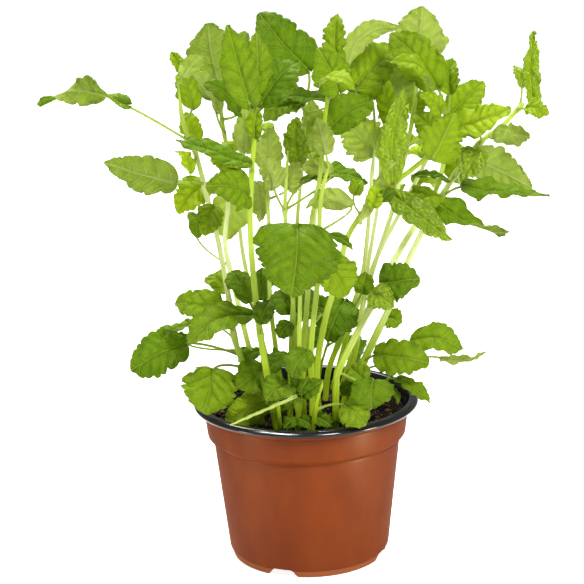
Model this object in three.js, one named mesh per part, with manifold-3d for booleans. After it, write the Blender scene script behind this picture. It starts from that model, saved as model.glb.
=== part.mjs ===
// Potted mint plant: a two-colour plastic nursery pot, its soil and the leafy stems that grow in it.
// Millimetres, +Z up, the front of the plant towards -Y. The origin is the centre of the pot's base.
import * as THREE from 'three';
import Module from 'manifold-3d';

const wasm = await Module();
wasm.setup();

// ---------------------------------------------------------------- driving dimensions
const RIM_RADIUS = 65.2;
const POT_HEIGHT = 94;
const WALL = 1.2;
const RIM_WIDTH = 5.2;
const RIM_DROP = 3.6;
const COLLAR_TOP_RADIUS = 59.2;
const COLLAR_FOOT_RADIUS = 57.6;
const COLLAR_DEPTH = 21.5;
const BODY_TOP_RADIUS = 54.2;
const BODY_FOOT_RADIUS = 46.8;
const FOOT_HEIGHT = 4.8;
const FOOT_RADIUS = 45.2;
const FOOT_RING_INNER_RADIUS = 38;
const BASE_PAD_RADIUS = 14;
const NOTCH_WIDTH = 12;
const NOTCH_COUNT = 4;
const FIRST_NOTCH_AZIMUTH = -21;
const POT_SIDES = 32;

const SOIL_TOP = 86;
const SOIL_LUMP = 1.1;
const SOIL_GAP = 0.3;
const SOIL_FLOOR = FOOT_HEIGHT + WALL + SOIL_GAP;
const STEM_ROOT_DEPTH = 15;
const ROOT_HOLE_GAP = 0.35;

const STEM_SIDES = 4;
const STEM_STEP = 42;
const STALK_RADIUS = 0.75;
const STALK_APPROACH = 8;
const STALK_SHARE = 0.4;
const STALK_SPRING = 0.04;
const SHORT_STALK = 11;
const SMALL_STALK_RADIUS = 0.42;
const STALK_GROWTH = 0.03;
const BLADE_THICKNESS = 0.7;
const CLEARANCE = 0.36;
const NOTCH_RATIO = 0.85;

const TERRACOTTA = '#a5663d';
const SOIL_BROWN = '#2e2318';
const STEM_GREEN = '#8fb435';

// ---------------------------------------------------------------- the front picture
// Stems and leaves are placed as they stand in a front picture of the plant, 584 units square.
// A place is [column, row, depth]: the first two are picture units, depth is Y in millimetres.
const PICTURE_CENTRE = 292;
const PICTURE_FOCAL = 1768;
const EYE = new THREE.Vector3(-6.4, -979, 410);
const EYE_PITCH = THREE.MathUtils.degToRad(14.5);
const EYE_ROLL = THREE.MathUtils.degToRad(1.55);

// The line of sight through a picture place, with its part along the view axis equal to the focal length.
function sightLine(column, row) {
  const right = column - PICTURE_CENTRE;
  const up = PICTURE_CENTRE - row;
  const x = right * Math.cos(EYE_ROLL) + up * Math.sin(EYE_ROLL);
  const y = up * Math.cos(EYE_ROLL) - right * Math.sin(EYE_ROLL);
  const away = PICTURE_FOCAL * Math.cos(EYE_PITCH) + y * Math.sin(EYE_PITCH);
  const rise = y * Math.cos(EYE_PITCH) - PICTURE_FOCAL * Math.sin(EYE_PITCH);
  return new THREE.Vector3(x, away, rise);
}

function fromPicture([column, row, depth]) {
  const sight = sightLine(column, row);
  return EYE.clone().addScaledVector(sight, (depth - EYE.y) / sight.y);
}

function onSoil([column, row]) {
  const sight = sightLine(column, row);
  return EYE.clone().addScaledVector(sight, (SOIL_TOP - EYE.z) / sight.z);
}

// The picture column and row of a point.
function toPicture(point) {
  const seen = point.clone().sub(EYE);
  const away = seen.y * Math.cos(EYE_PITCH) - seen.z * Math.sin(EYE_PITCH);
  const up = seen.y * Math.sin(EYE_PITCH) + seen.z * Math.cos(EYE_PITCH);
  const right = seen.x * Math.cos(EYE_ROLL) - up * Math.sin(EYE_ROLL);
  const above = seen.x * Math.sin(EYE_ROLL) + up * Math.cos(EYE_ROLL);
  const scale = PICTURE_FOCAL / away;
  return [PICTURE_CENTRE + right * scale, PICTURE_CENTRE - above * scale];
}

// ---------------------------------------------------------------- the stems
// soil: where the stem leaves the soil, on the soil's own plane. path: the places it passes going up.
// thick: radius at the soil. Rows that follow name the stem by its key.
const STEMS = {
  west: { soil: [262, 424], thick: 2.6, path: [[246, 372, -22], [235, 340, -18], [229, 300, -12],
    [220, 250, -6], [209, 205, 0], [196, 155, 4], [183, 122, 8], [178, 82, 12]] },
  west_back: { soil: [272, 412], thick: 2.4, path: [[254, 365, 8], [241, 315, 20], [230, 270, 28],
    [225, 240, 32], [228, 205, 36], [228, 160, 42], [222, 120, 46], [219, 88, 50]] },
  west_front: { soil: [277, 428], thick: 2.9, path: [[268, 380, -40], [262, 345, -42], [257, 311, -42],
    [252, 260, -40], [250, 215, -38], [252, 169, -36], [254, 135, -36], [250, 108, -36]] },
  mid_a: { soil: [283, 405], thick: 2.2, path: [[276, 350, 6], [271, 310, 8], [269, 267, 10],
    [269, 230, 12], [268, 202, 14], [268, 176, 16]] },
  mid_b: { soil: [290, 418], thick: 2.2, path: [[291, 355, -14], [293, 300, -10], [288, 250, -4],
    [285, 213, 0], [286, 183, 4], [288, 150, 8]] },
  mid_c: { soil: [298, 410], thick: 2.1, path: [[295, 350, 14], [296, 290, 26], [297, 226, 40],
    [300, 190, 48], [303, 150, 54], [306, 92, 60]] },
  mid_d: { soil: [304, 426], thick: 2.4, path: [[303, 360, -22], [308, 290, -18], [311, 226, -14],
    [320, 175, -10], [325, 118, -6], [330, 82, -4]] },
  mid_e: { soil: [313, 430], thick: 2.5, path: [[311, 351, -38], [317, 287, -36], [319, 240, -34],
    [321, 198, -32], [329, 165, -30]] },
  front: { soil: [298, 431], thick: 2.1, path: [[299, 360, -50], [300, 290, -54], [300, 238, -56]] },
  east_a: { soil: [319, 420], thick: 2.8, path: [[317, 369, -20], [325, 320, -14], [332, 295, -10],
    [342, 256, -6], [350, 232, -4], [365, 211, -4], [386, 189, -10], [410, 171, -18], [432, 153, -24]] },
  east_b: { soil: [325, 402], thick: 2.5, path: [[329, 369, 16], [342, 335, 20], [353, 306, 24],
    [363, 272, 28], [367, 240, 30], [369, 213, 32], [372, 175, 36], [375, 145, 38]] },
  east_c: { soil: [336, 428], thick: 2.9, path: [[336, 385, -42], [341, 365, -42], [371, 306, -34],
    [394, 261, -22], [406, 240, -12], [418, 221, -4], [436, 190, 6], [446, 150, 12], [447, 115, 12]] },
  east_d: { soil: [349, 410], thick: 2.8, path: [[363, 364, 0], [388, 310, 6], [406, 266, 10],
    [418, 240, 12], [428, 220, 14], [455, 175, 16], [481, 142, 18], [500, 128, 20], [523, 104, 22]] },
  east_e: { soil: [338, 398], thick: 2.2, path: [[350, 360, 32], [358, 334, 40], [367, 272, 52],
    [377, 209, 62], [381, 160, 68], [386, 112, 74]] },
  east_f: { soil: [343, 406], thick: 2.5, path: [[355, 352, 10], [364, 300, 16], [372, 272, 18],
    [383, 240, 22], [393, 208, 26], [403, 165, 32], [414, 110, 38], [418, 62, 42]] },
  back_west: { soil: [276, 390], thick: 2.2, path: [[262, 340, 48], [250, 290, 58], [241, 240, 68],
    [238, 190, 76], [241, 150, 82], [245, 118, 86]] },
  back_mid: { soil: [304, 385], thick: 2.2, path: [[308, 300, 58], [314, 225, 72], [321, 165, 82],
    [325, 118, 88]] },
  back_east: { soil: [333, 387], thick: 2.4, path: [[352, 320, 56], [378, 255, 70], [404, 205, 80],
    [426, 160, 86], [440, 122, 90]] },
  low_west: { soil: [262, 408], thick: 1.8, path: [[250, 382, 0], [240, 358, 0], [236, 346, 0]] },
  low_front: { soil: [280, 432], thick: 1.8, path: [[279, 412, -50], [276, 394, -54]] },
  low_mid: { soil: [312, 434], thick: 1.8, path: [[317, 402, -52], [323, 382, -56]] },
  low_east: { soil: [352, 421], thick: 1.8, path: [[364, 400, -30], [372, 385, -34]] },
  low_far_east: { soil: [362, 405], thick: 1.6, path: [[379, 390, 2], [390, 376, 4]] },
  low_back: { soil: [318, 387], thick: 1.6, path: [[321, 366, 46], [328, 342, 50]] },
};

// ---------------------------------------------------------------- the leaves
// Listed by stem. row: the picture row where the stalk leaves the stem. base, tip: the ends of the blade.
// y: depth of the base against the stem there, and of the tip against the base. half: half its width.
// roll: 0 turns the upper side to the eye, 90 to the sky, 180 away from the eye; twist adds to it towards
// the tip. bow: how far the middle arches out of the chord. lift: how far it curves up in the picture.
// fold: degrees that the two halves rise.
// flat: the upper side looks at the sky, whichever way the leaf points.
const LEAVES = {
  west: [
    { row: 143, base: [124, 105], tip: [37, 104], y: [-14, 12],
      half: 8.5, roll: 30, twist: 300, lift: 7, teeth: 7 },
    { row: 186, base: [172, 182], tip: [104, 163], y: [-8, 8], half: 11.5, roll: 160, bow: 4, lift: -3 },
    { row: 116, base: [192, 107], tip: [178, 74], y: [8, 10], half: 8, roll: 30, bow: 3 },
    { row: 84, base: [180, 72], tip: [171, 53], y: [0, 6], half: 4.5, roll: 20, fold: 30 },
    { row: 84, base: [184, 76], tip: [201, 56], y: [4, -10], half: 6, roll: 150, bow: 3 },
    { row: 160, base: [190, 172], tip: [175, 151], y: [-8, 6], half: 5, roll: 50, bow: 4 },
    { row: 196, base: [204, 184], tip: [177, 212], y: [10, -8], half: 10.5, roll: 20, bow: 4 },
    { row: 228, base: [214, 208], tip: [205, 236], y: [-10, -8], half: 8, roll: 0, bow: 4 },
    { row: 300, base: [226, 291], tip: [207, 277], y: [14, 10], half: 7.5, roll: 30, bow: 4 },
    { row: 328, base: [224, 315], tip: [175, 304], y: [-10, -6], half: 11, roll: 35, bow: 5 },
    { row: 336, base: [196, 322], tip: [150, 337], y: [16, 8],
      half: 6, roll: 76, twist: -30, bow: 3, lift: -3 },
    { row: 150, base: [195, 140], tip: [186, 112], y: [8, 6], half: 6.5, roll: 10, bow: 3 },
  ],
  west_back: [
    { row: 266, base: [197, 236], tip: [189, 212], y: [6, 8], half: 4.5, roll: 30, bow: 2 },
    { row: 322, base: [250, 316], tip: [188, 344], y: [-20, -24], half: 11, roll: 40, bow: 6 },
    { row: 104, base: [223, 94], tip: [208, 23], y: [-2, 10], half: 19, roll: 175, bow: 4 },
    { row: 135, base: [216, 110], tip: [178, 71], y: [-8, -6], half: 7, roll: 125, bow: 5, lift: 3 },
    { row: 122, base: [238, 111], tip: [203, 84], y: [-14, -12], half: 9, roll: 40, bow: 5 },
    { row: 186, base: [233, 173], tip: [208, 152], y: [-12, -10], half: 9, roll: 30, bow: 4 },
    { row: 210, base: [232, 198], tip: [226, 240], y: [10, 6], half: 12, roll: 175, bow: 3 },
    { row: 96, base: [232, 74], tip: [246, 32], y: [14, 12], half: 11, roll: 168, bow: 4 },
    { row: 160, base: [246, 150], tip: [246, 106], y: [8, 8], half: 8, roll: 172, bow: 3 },
  ],
  west_front: [
    { row: 113, base: [249, 102], tip: [227, 25], y: [-4, 8], half: 10.5, roll: 12, bow: -4 },
    { row: 118, base: [255, 112], tip: [263, 82], y: [6, 8], half: 5, roll: 170, bow: 2 },
    { row: 128, base: [262, 103], tip: [300, 62], y: [6, 10], half: 12.5, roll: 25, bow: 5 },
    { row: 122, base: [256, 90], tip: [255, 33], y: [12, 12], half: 8, roll: 20, bow: 4 },
    { row: 140, base: [255, 136], tip: [258, 107], y: [-8, -4], half: 5, roll: 10, bow: 2 },
    { row: 172, base: [246, 163], tip: [176, 140], y: [-6, -6], half: 10, roll: 60, bow: 3, lift: -2 },
    { row: 202, base: [247, 196], tip: [206, 186], y: [-8, -14], half: 13, roll: 30, bow: 6 },
    { row: 308, base: [249, 300], tip: [231, 272], y: [8, 10], half: 8.5, roll: 25, bow: 4 },
    { row: 330, base: [260, 322], tip: [271, 300], y: [10, 6], half: 6, roll: 20, bow: 2 },
  ],
  mid_a: [
    { row: 200, base: [257, 184], tip: [260, 222], y: [6, -4], half: 6, roll: 168, bow: 2 },
    { row: 200, base: [288, 188], tip: [300, 162], y: [10, 12], half: 8, roll: 160, bow: 3 },
    { row: 310, base: [263, 298], tip: [263, 268], y: [8, 8], half: 7, roll: 15, bow: 3 },
    { row: 384, base: [286, 384], tip: [266, 400], y: [-26, -14], half: 9, roll: 20, bow: 4 },
    { row: 178, base: [269, 168], tip: [270, 128], y: [6, 8], half: 9, roll: 170, bow: 3 },
  ],
  mid_b: [
    { row: 213, base: [274, 187], tip: [262, 158], y: [-4, 6], half: 8, roll: 155, bow: 3 },
    { row: 212, base: [305, 182], tip: [367, 184], y: [-6, -10], half: 10, roll: 62, bow: 8, lift: -2 },
    { row: 330, base: [296, 313], tip: [277, 291], y: [10, 12], half: 10, roll: 20, bow: 4 },
    { row: 372, base: [293, 360], tip: [266, 374], y: [-10, -12], half: 10, roll: 30, bow: 5 },
    { row: 345, base: [290, 324], tip: [279, 338], y: [4, -4], half: 5.5, roll: 10, bow: 2 },
  ],
  mid_c: [
    { row: 98, base: [306, 67], tip: [259, 13], y: [-4, 8], half: 15, roll: 15, bow: 4 },
    { row: 102, base: [287, 68], tip: [264, 28], y: [12, 12], half: 11, roll: 172, bow: 3 },
    { row: 112, base: [338, 100], tip: [266, 100], y: [-12, -14], half: 9, roll: 66, bow: 6, lift: -3 },
    { row: 122, base: [297, 105], tip: [264, 122], y: [-20, -12], half: 9.5, roll: 44, bow: 4 },
    { row: 175, base: [298, 164], tip: [296, 116], y: [-14, -6], half: 7.5, roll: 8, bow: -3 },
    { row: 165, base: [316, 148], tip: [310, 98], y: [6, 8], half: 8, roll: 172, bow: 3 },
  ],
  mid_d: [
    { row: 90, base: [337, 60], tip: [337, 14], y: [2, 8], half: 7.5, roll: 15, bow: 3 },
    { row: 84, base: [349, 64], tip: [402, 27], y: [8, 14], half: 7, roll: 158, bow: 3, lift: 8 },
    { row: 100, base: [338, 90], tip: [318, 48], y: [-6, -4], half: 11.5, roll: 10, bow: 4 },
    { row: 96, base: [322, 82], tip: [354, 90], y: [-12, -14], half: 7, roll: 60, bow: 5 },
    { row: 138, base: [331, 127], tip: [373, 101], y: [4, 8], half: 11, roll: 14, bow: 5 },
  ],
  mid_e: [
    { row: 232, base: [349, 205], tip: [307, 207], y: [2, -8], half: 8, roll: 140, bow: 5 },
    { row: 168, base: [326, 152], tip: [317, 118], y: [6, 8], half: 6.5, roll: 168, bow: 3 },
    { row: 285, base: [326, 264], tip: [347, 296], y: [-4, -12], half: 11.5, roll: 8, bow: 5 },
    { row: 370, base: [307, 352], tip: [292, 377], y: [-8, -6], half: 8, roll: 20, bow: 3 },
  ],
  front: [
    { row: 242, base: [297, 229], tip: [291, 296], y: [-8, -16], half: 24, roll: 0, bow: 7, teeth: 6 },
  ],
  east_a: [
    { row: 192, base: [393, 178], tip: [404, 90], y: [-6, 8], half: 8, roll: -14, bow: -3, teeth: 6 },
    { row: 200, base: [394, 196], tip: [450, 241], y: [-10, -14], half: 8, roll: 14, bow: 5, teeth: 5 },
    { row: 215, base: [354, 194], tip: [362, 181], y: [-4, 4], half: 5, roll: 20, bow: 2 },
    { row: 157, base: [434, 156], tip: [455, 113], y: [-4, 8], half: 13, roll: 170, bow: 4 },
  ],
  east_b: [
    { row: 150, base: [371, 96], tip: [348, 52], y: [8, 10], half: 12, roll: 14, bow: 4 },
    { row: 148, base: [358, 84], tip: [398, 48], y: [-6, 12], half: 13, roll: 10, bow: 5 },
    { row: 174, base: [371, 153], tip: [346, 120], y: [6, 6], half: 14, roll: 172, bow: 3 },
    { row: 312, base: [362, 292], tip: [366, 272], y: [-10, -6], half: 7, roll: 0, bow: 2 },
    { row: 320, base: [344, 302], tip: [327, 341], y: [6, -10], half: 13, roll: 15, bow: 5 },
    { row: 345, base: [353, 316], tip: [364, 325], y: [10, 0], half: 6, roll: 40, bow: 2 },
  ],
  east_c: [
    { row: 122, base: [435, 84], tip: [390, 34], y: [-2, 10], half: 13, roll: 10, bow: 5 },
    { row: 120, base: [428, 82], tip: [391, 62], y: [-14, -14], half: 8, roll: 62, bow: 5 },
    { row: 118, base: [450, 92], tip: [452, 58], y: [-4, 8], half: 8.5, roll: 12, fold: 32 },
    { row: 124, base: [451, 114], tip: [484, 83], y: [2, 10], half: 9.5, roll: 12, bow: 4 },
    { row: 126, base: [440, 114], tip: [420, 94], y: [-10, -8], half: 7, roll: 36, bow: 3 },
    { row: 150, base: [438, 140], tip: [414, 113], y: [10, 6], half: 8, roll: 10, bow: 3 },
    { row: 140, base: [458, 126], tip: [511, 109], y: [-8, -12], half: 10.5, roll: 38, bow: 4, lift: -3 },
    { row: 304, base: [383, 283], tip: [420, 279], y: [-6, -10], half: 11, roll: 12, bow: 5 },
    { row: 312, base: [373, 294], tip: [393, 308], y: [-10, -8], half: 8, roll: 10, bow: 3 },
    { row: 372, base: [365, 381], tip: [350, 367], y: [4, 6], half: 7, roll: 10, bow: 3 },
  ],
  east_d: [
    { row: 107, base: [533, 104], tip: [533, 31], y: [2, 8], half: 6.5, roll: -30, bow: -3, fold: 22 },
    { row: 107, base: [522, 86], tip: [515, 66], y: [6, 8], half: 4, roll: 30, teeth: 3 },
    { row: 108, base: [527, 108], tip: [549, 114], y: [-4, -4], half: 6, roll: 30, bow: 3 },
    { row: 132, base: [496, 138], tip: [530, 137], y: [-4, -8], half: 8.5, roll: 140, bow: 3 },
    { row: 146, base: [475, 158], tip: [532, 187], y: [6, 2], half: 12, roll: 168, bow: 6, teeth: 5 },
    { row: 148, base: [479, 134], tip: [459, 115], y: [-8, 6], half: 8, roll: 20, bow: 3 },
    { row: 152, base: [480, 152], tip: [464, 180], y: [-10, -10], half: 9, roll: 10, bow: 4 },
    { row: 178, base: [459, 180], tip: [452, 140], y: [8, 8], half: 8.5, roll: 10, bow: 3 },
    { row: 202, base: [468, 187], tip: [549, 195], y: [-6, -14],
      half: 12, roll: 50, twist: 40, bow: 4, lift: -5 },
    { row: 182, base: [446, 181], tip: [412, 178], y: [-10, -16], half: 5.5, roll: 68, bow: 5, lift: -2 },
    { row: 196, base: [440, 198], tip: [405, 216], y: [-14, -12], half: 10, roll: 40, bow: 5 },
    { row: 208, base: [442, 206], tip: [509, 232], y: [-14, -20],
      half: 10.5, roll: 10, twist: 130, lift: -6, teeth: 5 },
    { row: 358, base: [378, 355], tip: [429, 363], y: [-10, -10], half: 11, roll: 12, bow: 5 },
    { row: 344, base: [413, 341], tip: [462, 350], y: [-2, -10], half: 9.5, roll: 28, bow: 6 },
    { row: 366, base: [443, 358], tip: [487, 352], y: [6, 4], half: 6.5, roll: 120, twist: -30, bow: -3 },
    { row: 330, base: [388, 318], tip: [402, 323], y: [8, -6], half: 7, roll: 10, bow: 3 },
  ],
  east_e: [
    { row: 150, base: [394, 138], tip: [378, 65], y: [-18, 8], half: 7, roll: 10, bow: 4 },
    { row: 130, base: [396, 100], tip: [411, 62], y: [6, 10], half: 11, roll: 168, bow: 4 },
  ],
  east_f: [
    { row: 122, base: [414, 112], tip: [430, 92], y: [-14, -8], half: 7, roll: 30, bow: 3 },
    { row: 66, base: [418, 56], tip: [423, 6], y: [2, 8], half: 15.5, roll: 174, bow: 4 },
    { row: 70, base: [426, 56], tip: [448, 38], y: [8, 10], half: 9, roll: 160, bow: 3 },
    { row: 100, base: [424, 84], tip: [446, 62], y: [6, 8], half: 8, roll: 30, bow: 4 },
  ],
  low_west: [
    { row: 358, base: [182, 345], tip: [131, 371], y: [-14, -10], half: 12.5, roll: 8, bow: 5 },
    { row: 352, base: [187, 344], tip: [170, 339], y: [-4, 4], half: 5, roll: 40, teeth: 3 },
    { row: 368, base: [213, 371], tip: [203, 413], y: [-20, -12], half: 16, roll: 0, bow: 6 },
    { row: 384, base: [262, 370], tip: [237, 388], y: [-28, -12], half: 11, roll: 10, bow: 5 },
  ],
  low_front: [
    { row: 400, base: [270, 398], tip: [226, 424], y: [-6, -8], half: 9, roll: 24, bow: 5 },
    { row: 398, base: [290, 394], tip: [312, 384], y: [2, 8], half: 7, roll: 30, bow: 3 },
  ],
  low_mid: [
    { row: 411, base: [345, 406], tip: [366, 425], y: [-2, -6], half: 9, roll: 10, bow: 3 },
  ],
  low_east: [
    { row: 388, base: [373, 381], tip: [372, 409], y: [-6, -10], half: 12, roll: 0, bow: 5 },
  ],
  low_far_east: [
    { row: 380, base: [398, 380], tip: [430, 403], y: [-6, -8], half: 6.5, roll: 52, bow: 4, lift: -2 },
  ],
  low_back: [
    { row: 346, base: [345, 343], tip: [360, 358], y: [8, 14], half: 9, roll: 30, bow: 4 },
    { row: 342, base: [322, 336], tip: [306, 348], y: [10, 14], half: 8, roll: 30, bow: 4 },
  ],
};

// Leaves that grow away from the eye, behind those above, in a row up each stem from first to last.
const REAR_LEAVES = [
  { on: 'back_west', first: 206, last: 140, count: 3 },
  { on: 'back_mid', first: 206, last: 132, count: 3 },
  { on: 'back_east', first: 190, last: 134, count: 3 },
  { on: 'mid_c', first: 160, last: 112, count: 2 },
  { on: 'east_e', first: 200, last: 126, count: 3 },
  { on: 'west_back', first: 158, last: 96, count: 2 },
  { on: 'east_f', first: 150, last: 84, count: 3 },
];
// near, far, drop: picture units from the stem to the base, from base to tip, and from base down to tip.
// off, reach: depths in millimetres from the stem to the base and from base to tip.
const REAR_LEAF = {
  near: [3, 9],
  far: [8, 22],
  drop: [-4, 6],
  above: 6,
  off: 10,
  reach: [22, 30],
  half: [8, 11],
  roll: [-10, 10],
  bow: 5,
};

// A repeatable draw between two ends for a whole number.
function draw(seed, [low, high]) {
  const wave = Math.sin(seed * 12.9898) * 43758.5453;
  return low + (high - low) * (wave - Math.floor(wave));
}

// Sides alternate up the stem, and every third leaf leans towards the eye.
function rearLeaf(on, row, k, seed) {
  const [column] = toPicture(stemAtRow(STEMS[on], row));
  const side = k % 2 === 0 ? 1 : -1;
  const away = k % 3 === 2 ? -1 : 1;
  const near = column + side * draw(seed, REAR_LEAF.near);
  const height = row - REAR_LEAF.above;
  return {
    on,
    row,
    base: [near, height],
    tip: [near + side * draw(seed + 1, REAR_LEAF.far), height + draw(seed + 2, REAR_LEAF.drop)],
    y: [away * REAR_LEAF.off, away * draw(seed + 3, REAR_LEAF.reach)],
    half: draw(seed + 4, REAR_LEAF.half),
    roll: draw(seed + 5, REAR_LEAF.roll),
    bow: REAR_LEAF.bow,
    flat: true,
  };
}

const DRAWS_PER_LEAF = 6;

function rearLeaves() {
  const leaves = [];
  for (const { on, first, last, count } of REAR_LEAVES) {
    for (let k = 0; k < count; k += 1) {
      const row = first + (last - first) * k / (count - 1);
      leaves.push(rearLeaf(on, row, k, 1 + DRAWS_PER_LEAF * leaves.length));
    }
  }
  return leaves;
}

function everyLeaf() {
  const listed = Object.entries(LEAVES).flatMap(([on, leaves]) => leaves.map((leaf) => ({ on, ...leaf })));
  return [...listed, ...rearLeaves()];
}

// ---------------------------------------------------------------- curves
// A smooth curve through the points, t from 0 at the first to 1 at the last.
function smoothPoint(points, t) {
  const spans = points.length - 1;
  const span = Math.min(Math.floor(t * spans), spans - 1);
  const f = t * spans - span;
  const p1 = points[span];
  const p2 = points[span + 1];
  const p0 = span > 0 ? points[span - 1] : p1.clone().multiplyScalar(2).sub(p2);
  const p3 = span + 2 <= spans ? points[span + 2] : p2.clone().multiplyScalar(2).sub(p1);
  const slope1 = p2.clone().sub(p0).multiplyScalar(0.5);
  const slope2 = p3.clone().sub(p1).multiplyScalar(0.5);
  const ff = f * f;
  const fff = ff * f;
  return p1.clone().multiplyScalar(2 * fff - 3 * ff + 1)
    .addScaledVector(slope1, fff - 2 * ff + f)
    .addScaledVector(p2, 3 * ff - 2 * fff)
    .addScaledVector(slope2, fff - ff);
}

// The centres of the rings of a stem, from the soil up.
function stemLine(stem) {
  const places = [onSoil(stem.soil), ...stem.path.map(fromPicture)];
  let length = 0;
  for (let k = 1; k < places.length; k += 1) length += places[k].distanceTo(places[k - 1]);
  const steps = Math.max(2, Math.round(length / STEM_STEP));
  return Array.from({ length: steps + 1 }, (_, k) => smoothPoint(places, k / steps));
}

// The point of the stem's centre line on a picture row.
function stemAtRow(stem, row) {
  const line = stemLine(stem);
  const rows = line.map((point) => toPicture(point)[1]);
  let k = 0;
  while (k < line.length - 2 && rows[k + 1] > row) k += 1;
  const share = THREE.MathUtils.clamp((rows[k] - row) / (rows[k] - rows[k + 1]), 0, 1);
  return line[k].clone().lerp(line[k + 1], share);
}

// ---------------------------------------------------------------- solids
function meshOf(positions, faces) {
  const geometry = new THREE.BufferGeometry();
  geometry.setAttribute('position', new THREE.Float32BufferAttribute(positions, 3));
  geometry.setIndex(faces);
  return geometry;
}

function solidOf(geometry) {
  const mesh = new wasm.Mesh({
    numProp: 3,
    vertProperties: new Float32Array(geometry.getAttribute('position').array),
    triVerts: new Uint32Array(geometry.index.array),
  });
  return new wasm.Manifold(mesh);
}

function geometryOf(solid) {
  const mesh = solid.getMesh();
  return meshOf(Array.from(mesh.vertProperties), Array.from(mesh.triVerts));
}

// A closed tube of flat sides through the points, with its own radius at each.
function tube(points, radii, sides) {
  const chord = points[points.length - 1].clone().sub(points[0]);
  const reference = new THREE.Vector3(1, 0, 0);
  if (Math.abs(chord.x) > Math.abs(chord.y) && Math.abs(chord.x) > Math.abs(chord.z)) reference.set(0, 1, 0);
  const positions = [];
  points.forEach((point, k) => {
    const ahead = points[Math.min(k + 1, points.length - 1)];
    const behind = points[Math.max(k - 1, 0)];
    const forward = ahead.clone().sub(behind).normalize();
    const first = reference.clone().addScaledVector(forward, -reference.dot(forward)).normalize();
    const second = forward.clone().cross(first);
    for (let side = 0; side < sides; side += 1) {
      const angle = 2 * Math.PI * (side + 0.5) / sides;
      const corner = point.clone()
        .addScaledVector(first, radii[k] * Math.cos(angle))
        .addScaledVector(second, radii[k] * Math.sin(angle));
      positions.push(...corner.toArray());
    }
  });
  const faces = [];
  const last = (points.length - 1) * sides;
  for (let ring = 0; ring < points.length - 1; ring += 1) {
    for (let side = 0; side < sides; side += 1) {
      const a = ring * sides + side;
      const b = ring * sides + (side + 1) % sides;
      faces.push(a, b, b + sides, a, b + sides, a + sides);
    }
  }
  for (let side = 1; side < sides - 1; side += 1) {
    faces.push(0, side + 1, side);
    faces.push(last, last + side, last + side + 1);
  }
  return meshOf(positions, faces);
}

// ---------------------------------------------------------------- leaf blades
const BLADE_WIDEST = 0.7;
const BLADE_FULLNESS = 0.6;
const LOBE_REACH = 0.09;
const LOBE_SHARPNESS = 4;
const EDGE_START = 0.05;
const EDGE_SPAN = 0.88;
const WAVE_HEIGHT = 0.1;
const WAVE_TURN = 13;
const WAVE_SIDE_OFFSET = 2;
const USUAL_FOLD = 8;
const USUAL_BOW = 2;
const SMALL_HALF = 6;
const BROAD_HALF = 8.9;

// Half-width of the blade at s along it, as a share of its greatest half-width.
function bladeWidth(s) {
  return Math.sin(Math.PI * s ** BLADE_WIDEST) ** BLADE_FULLNESS;
}

// Where and how a leaf lies: its ends, and the directions at right angles to its chord.
function leafPose(leaf, shift, turn) {
  const stem = stemAtRow(STEMS[leaf.on], leaf.row);
  const baseDepth = stem.y + leaf.y[0] + shift;
  const base = fromPicture([...leaf.base, baseDepth]);
  const tip = fromPicture([...leaf.tip, baseDepth + leaf.y[1]]);
  const chord = tip.clone().sub(base).normalize();
  const look = leaf.flat ? new THREE.Vector3(0, 0, 1) : EYE.clone().sub(base).normalize();
  const face = look.addScaledVector(chord, -look.dot(chord)).normalize();
  const rise = chord.clone().cross(face).multiplyScalar(leaf.tip[0] < leaf.base[0] ? 1 : -1);
  return { stem, base, tip, chord, face, rise, roll: leaf.roll + turn };
}

// The direction at right angles to the chord that is turned by roll from face towards rise.
function leaning({ face, rise }, roll) {
  return face.clone().multiplyScalar(Math.cos(roll)).addScaledVector(rise, Math.sin(roll));
}

// The point of the blade at s along its midrib and w across it, w from -1 to 1.
function bladePoint(leaf, pose, s, w) {
  const roll = THREE.MathUtils.degToRad(pose.roll + (leaf.twist ?? 0) * s);
  const middle = THREE.MathUtils.degToRad(pose.roll + (leaf.twist ?? 0) / 2);
  const upper = leaning(pose, roll);
  const arch = leaning(pose, middle);
  const across = pose.chord.clone().cross(upper);
  const fold = THREE.MathUtils.degToRad(leaf.fold ?? USUAL_FOLD);
  const width = leaf.half * bladeWidth(s) * Math.abs(w);
  const along = s - LOBE_REACH * Math.abs(w) * (1 - s) ** LOBE_SHARPNESS;
  const phase = WAVE_TURN * s + WAVE_SIDE_OFFSET * Math.sign(w) + leaf.row;
  const wave = leaf.half * WAVE_HEIGHT * w * w * Math.sin(phase);
  const hump = 4 * s * (1 - s);
  return pose.base.clone()
    .lerp(pose.tip, along)
    .addScaledVector(arch, (leaf.bow ?? USUAL_BOW) * hump)
    .addScaledVector(pose.rise, (leaf.lift ?? 0) * hump)
    .addScaledVector(across, Math.sign(w) * width * Math.cos(fold))
    .addScaledVector(upper, width * Math.sin(fold) + wave * bladeWidth(s));
}

function toothCount(leaf) {
  if (leaf.teeth) return leaf.teeth;
  if (leaf.half < SMALL_HALF) return 2;
  return leaf.half < BROAD_HALF ? 3 : 4;
}

// Turns a vector the shortest way that turns one direction into another.
function carried(vector, from, to) {
  const axis = from.clone().cross(to);
  const once = axis.clone().cross(vector);
  const twice = axis.clone().cross(once);
  return vector.clone().add(once).addScaledVector(twice, 1 / (1 + from.dot(to)));
}

// The stalk's middle line from the stem to the base of the blade, which it meets along the midrib.
function stalkLine(leaf, pose) {
  const ahead = bladePoint(leaf, pose, 0.1, 0).sub(pose.base).normalize();
  const reach = pose.base.distanceTo(pose.stem);
  if (reach < SHORT_STALK) return { line: [pose.stem, pose.base], ahead };
  const middle = pose.base.clone().addScaledVector(ahead, -Math.min(STALK_APPROACH, STALK_SHARE * reach));
  middle.z += STALK_SPRING * reach;
  return { line: [pose.stem, middle, pose.base], ahead };
}

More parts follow.
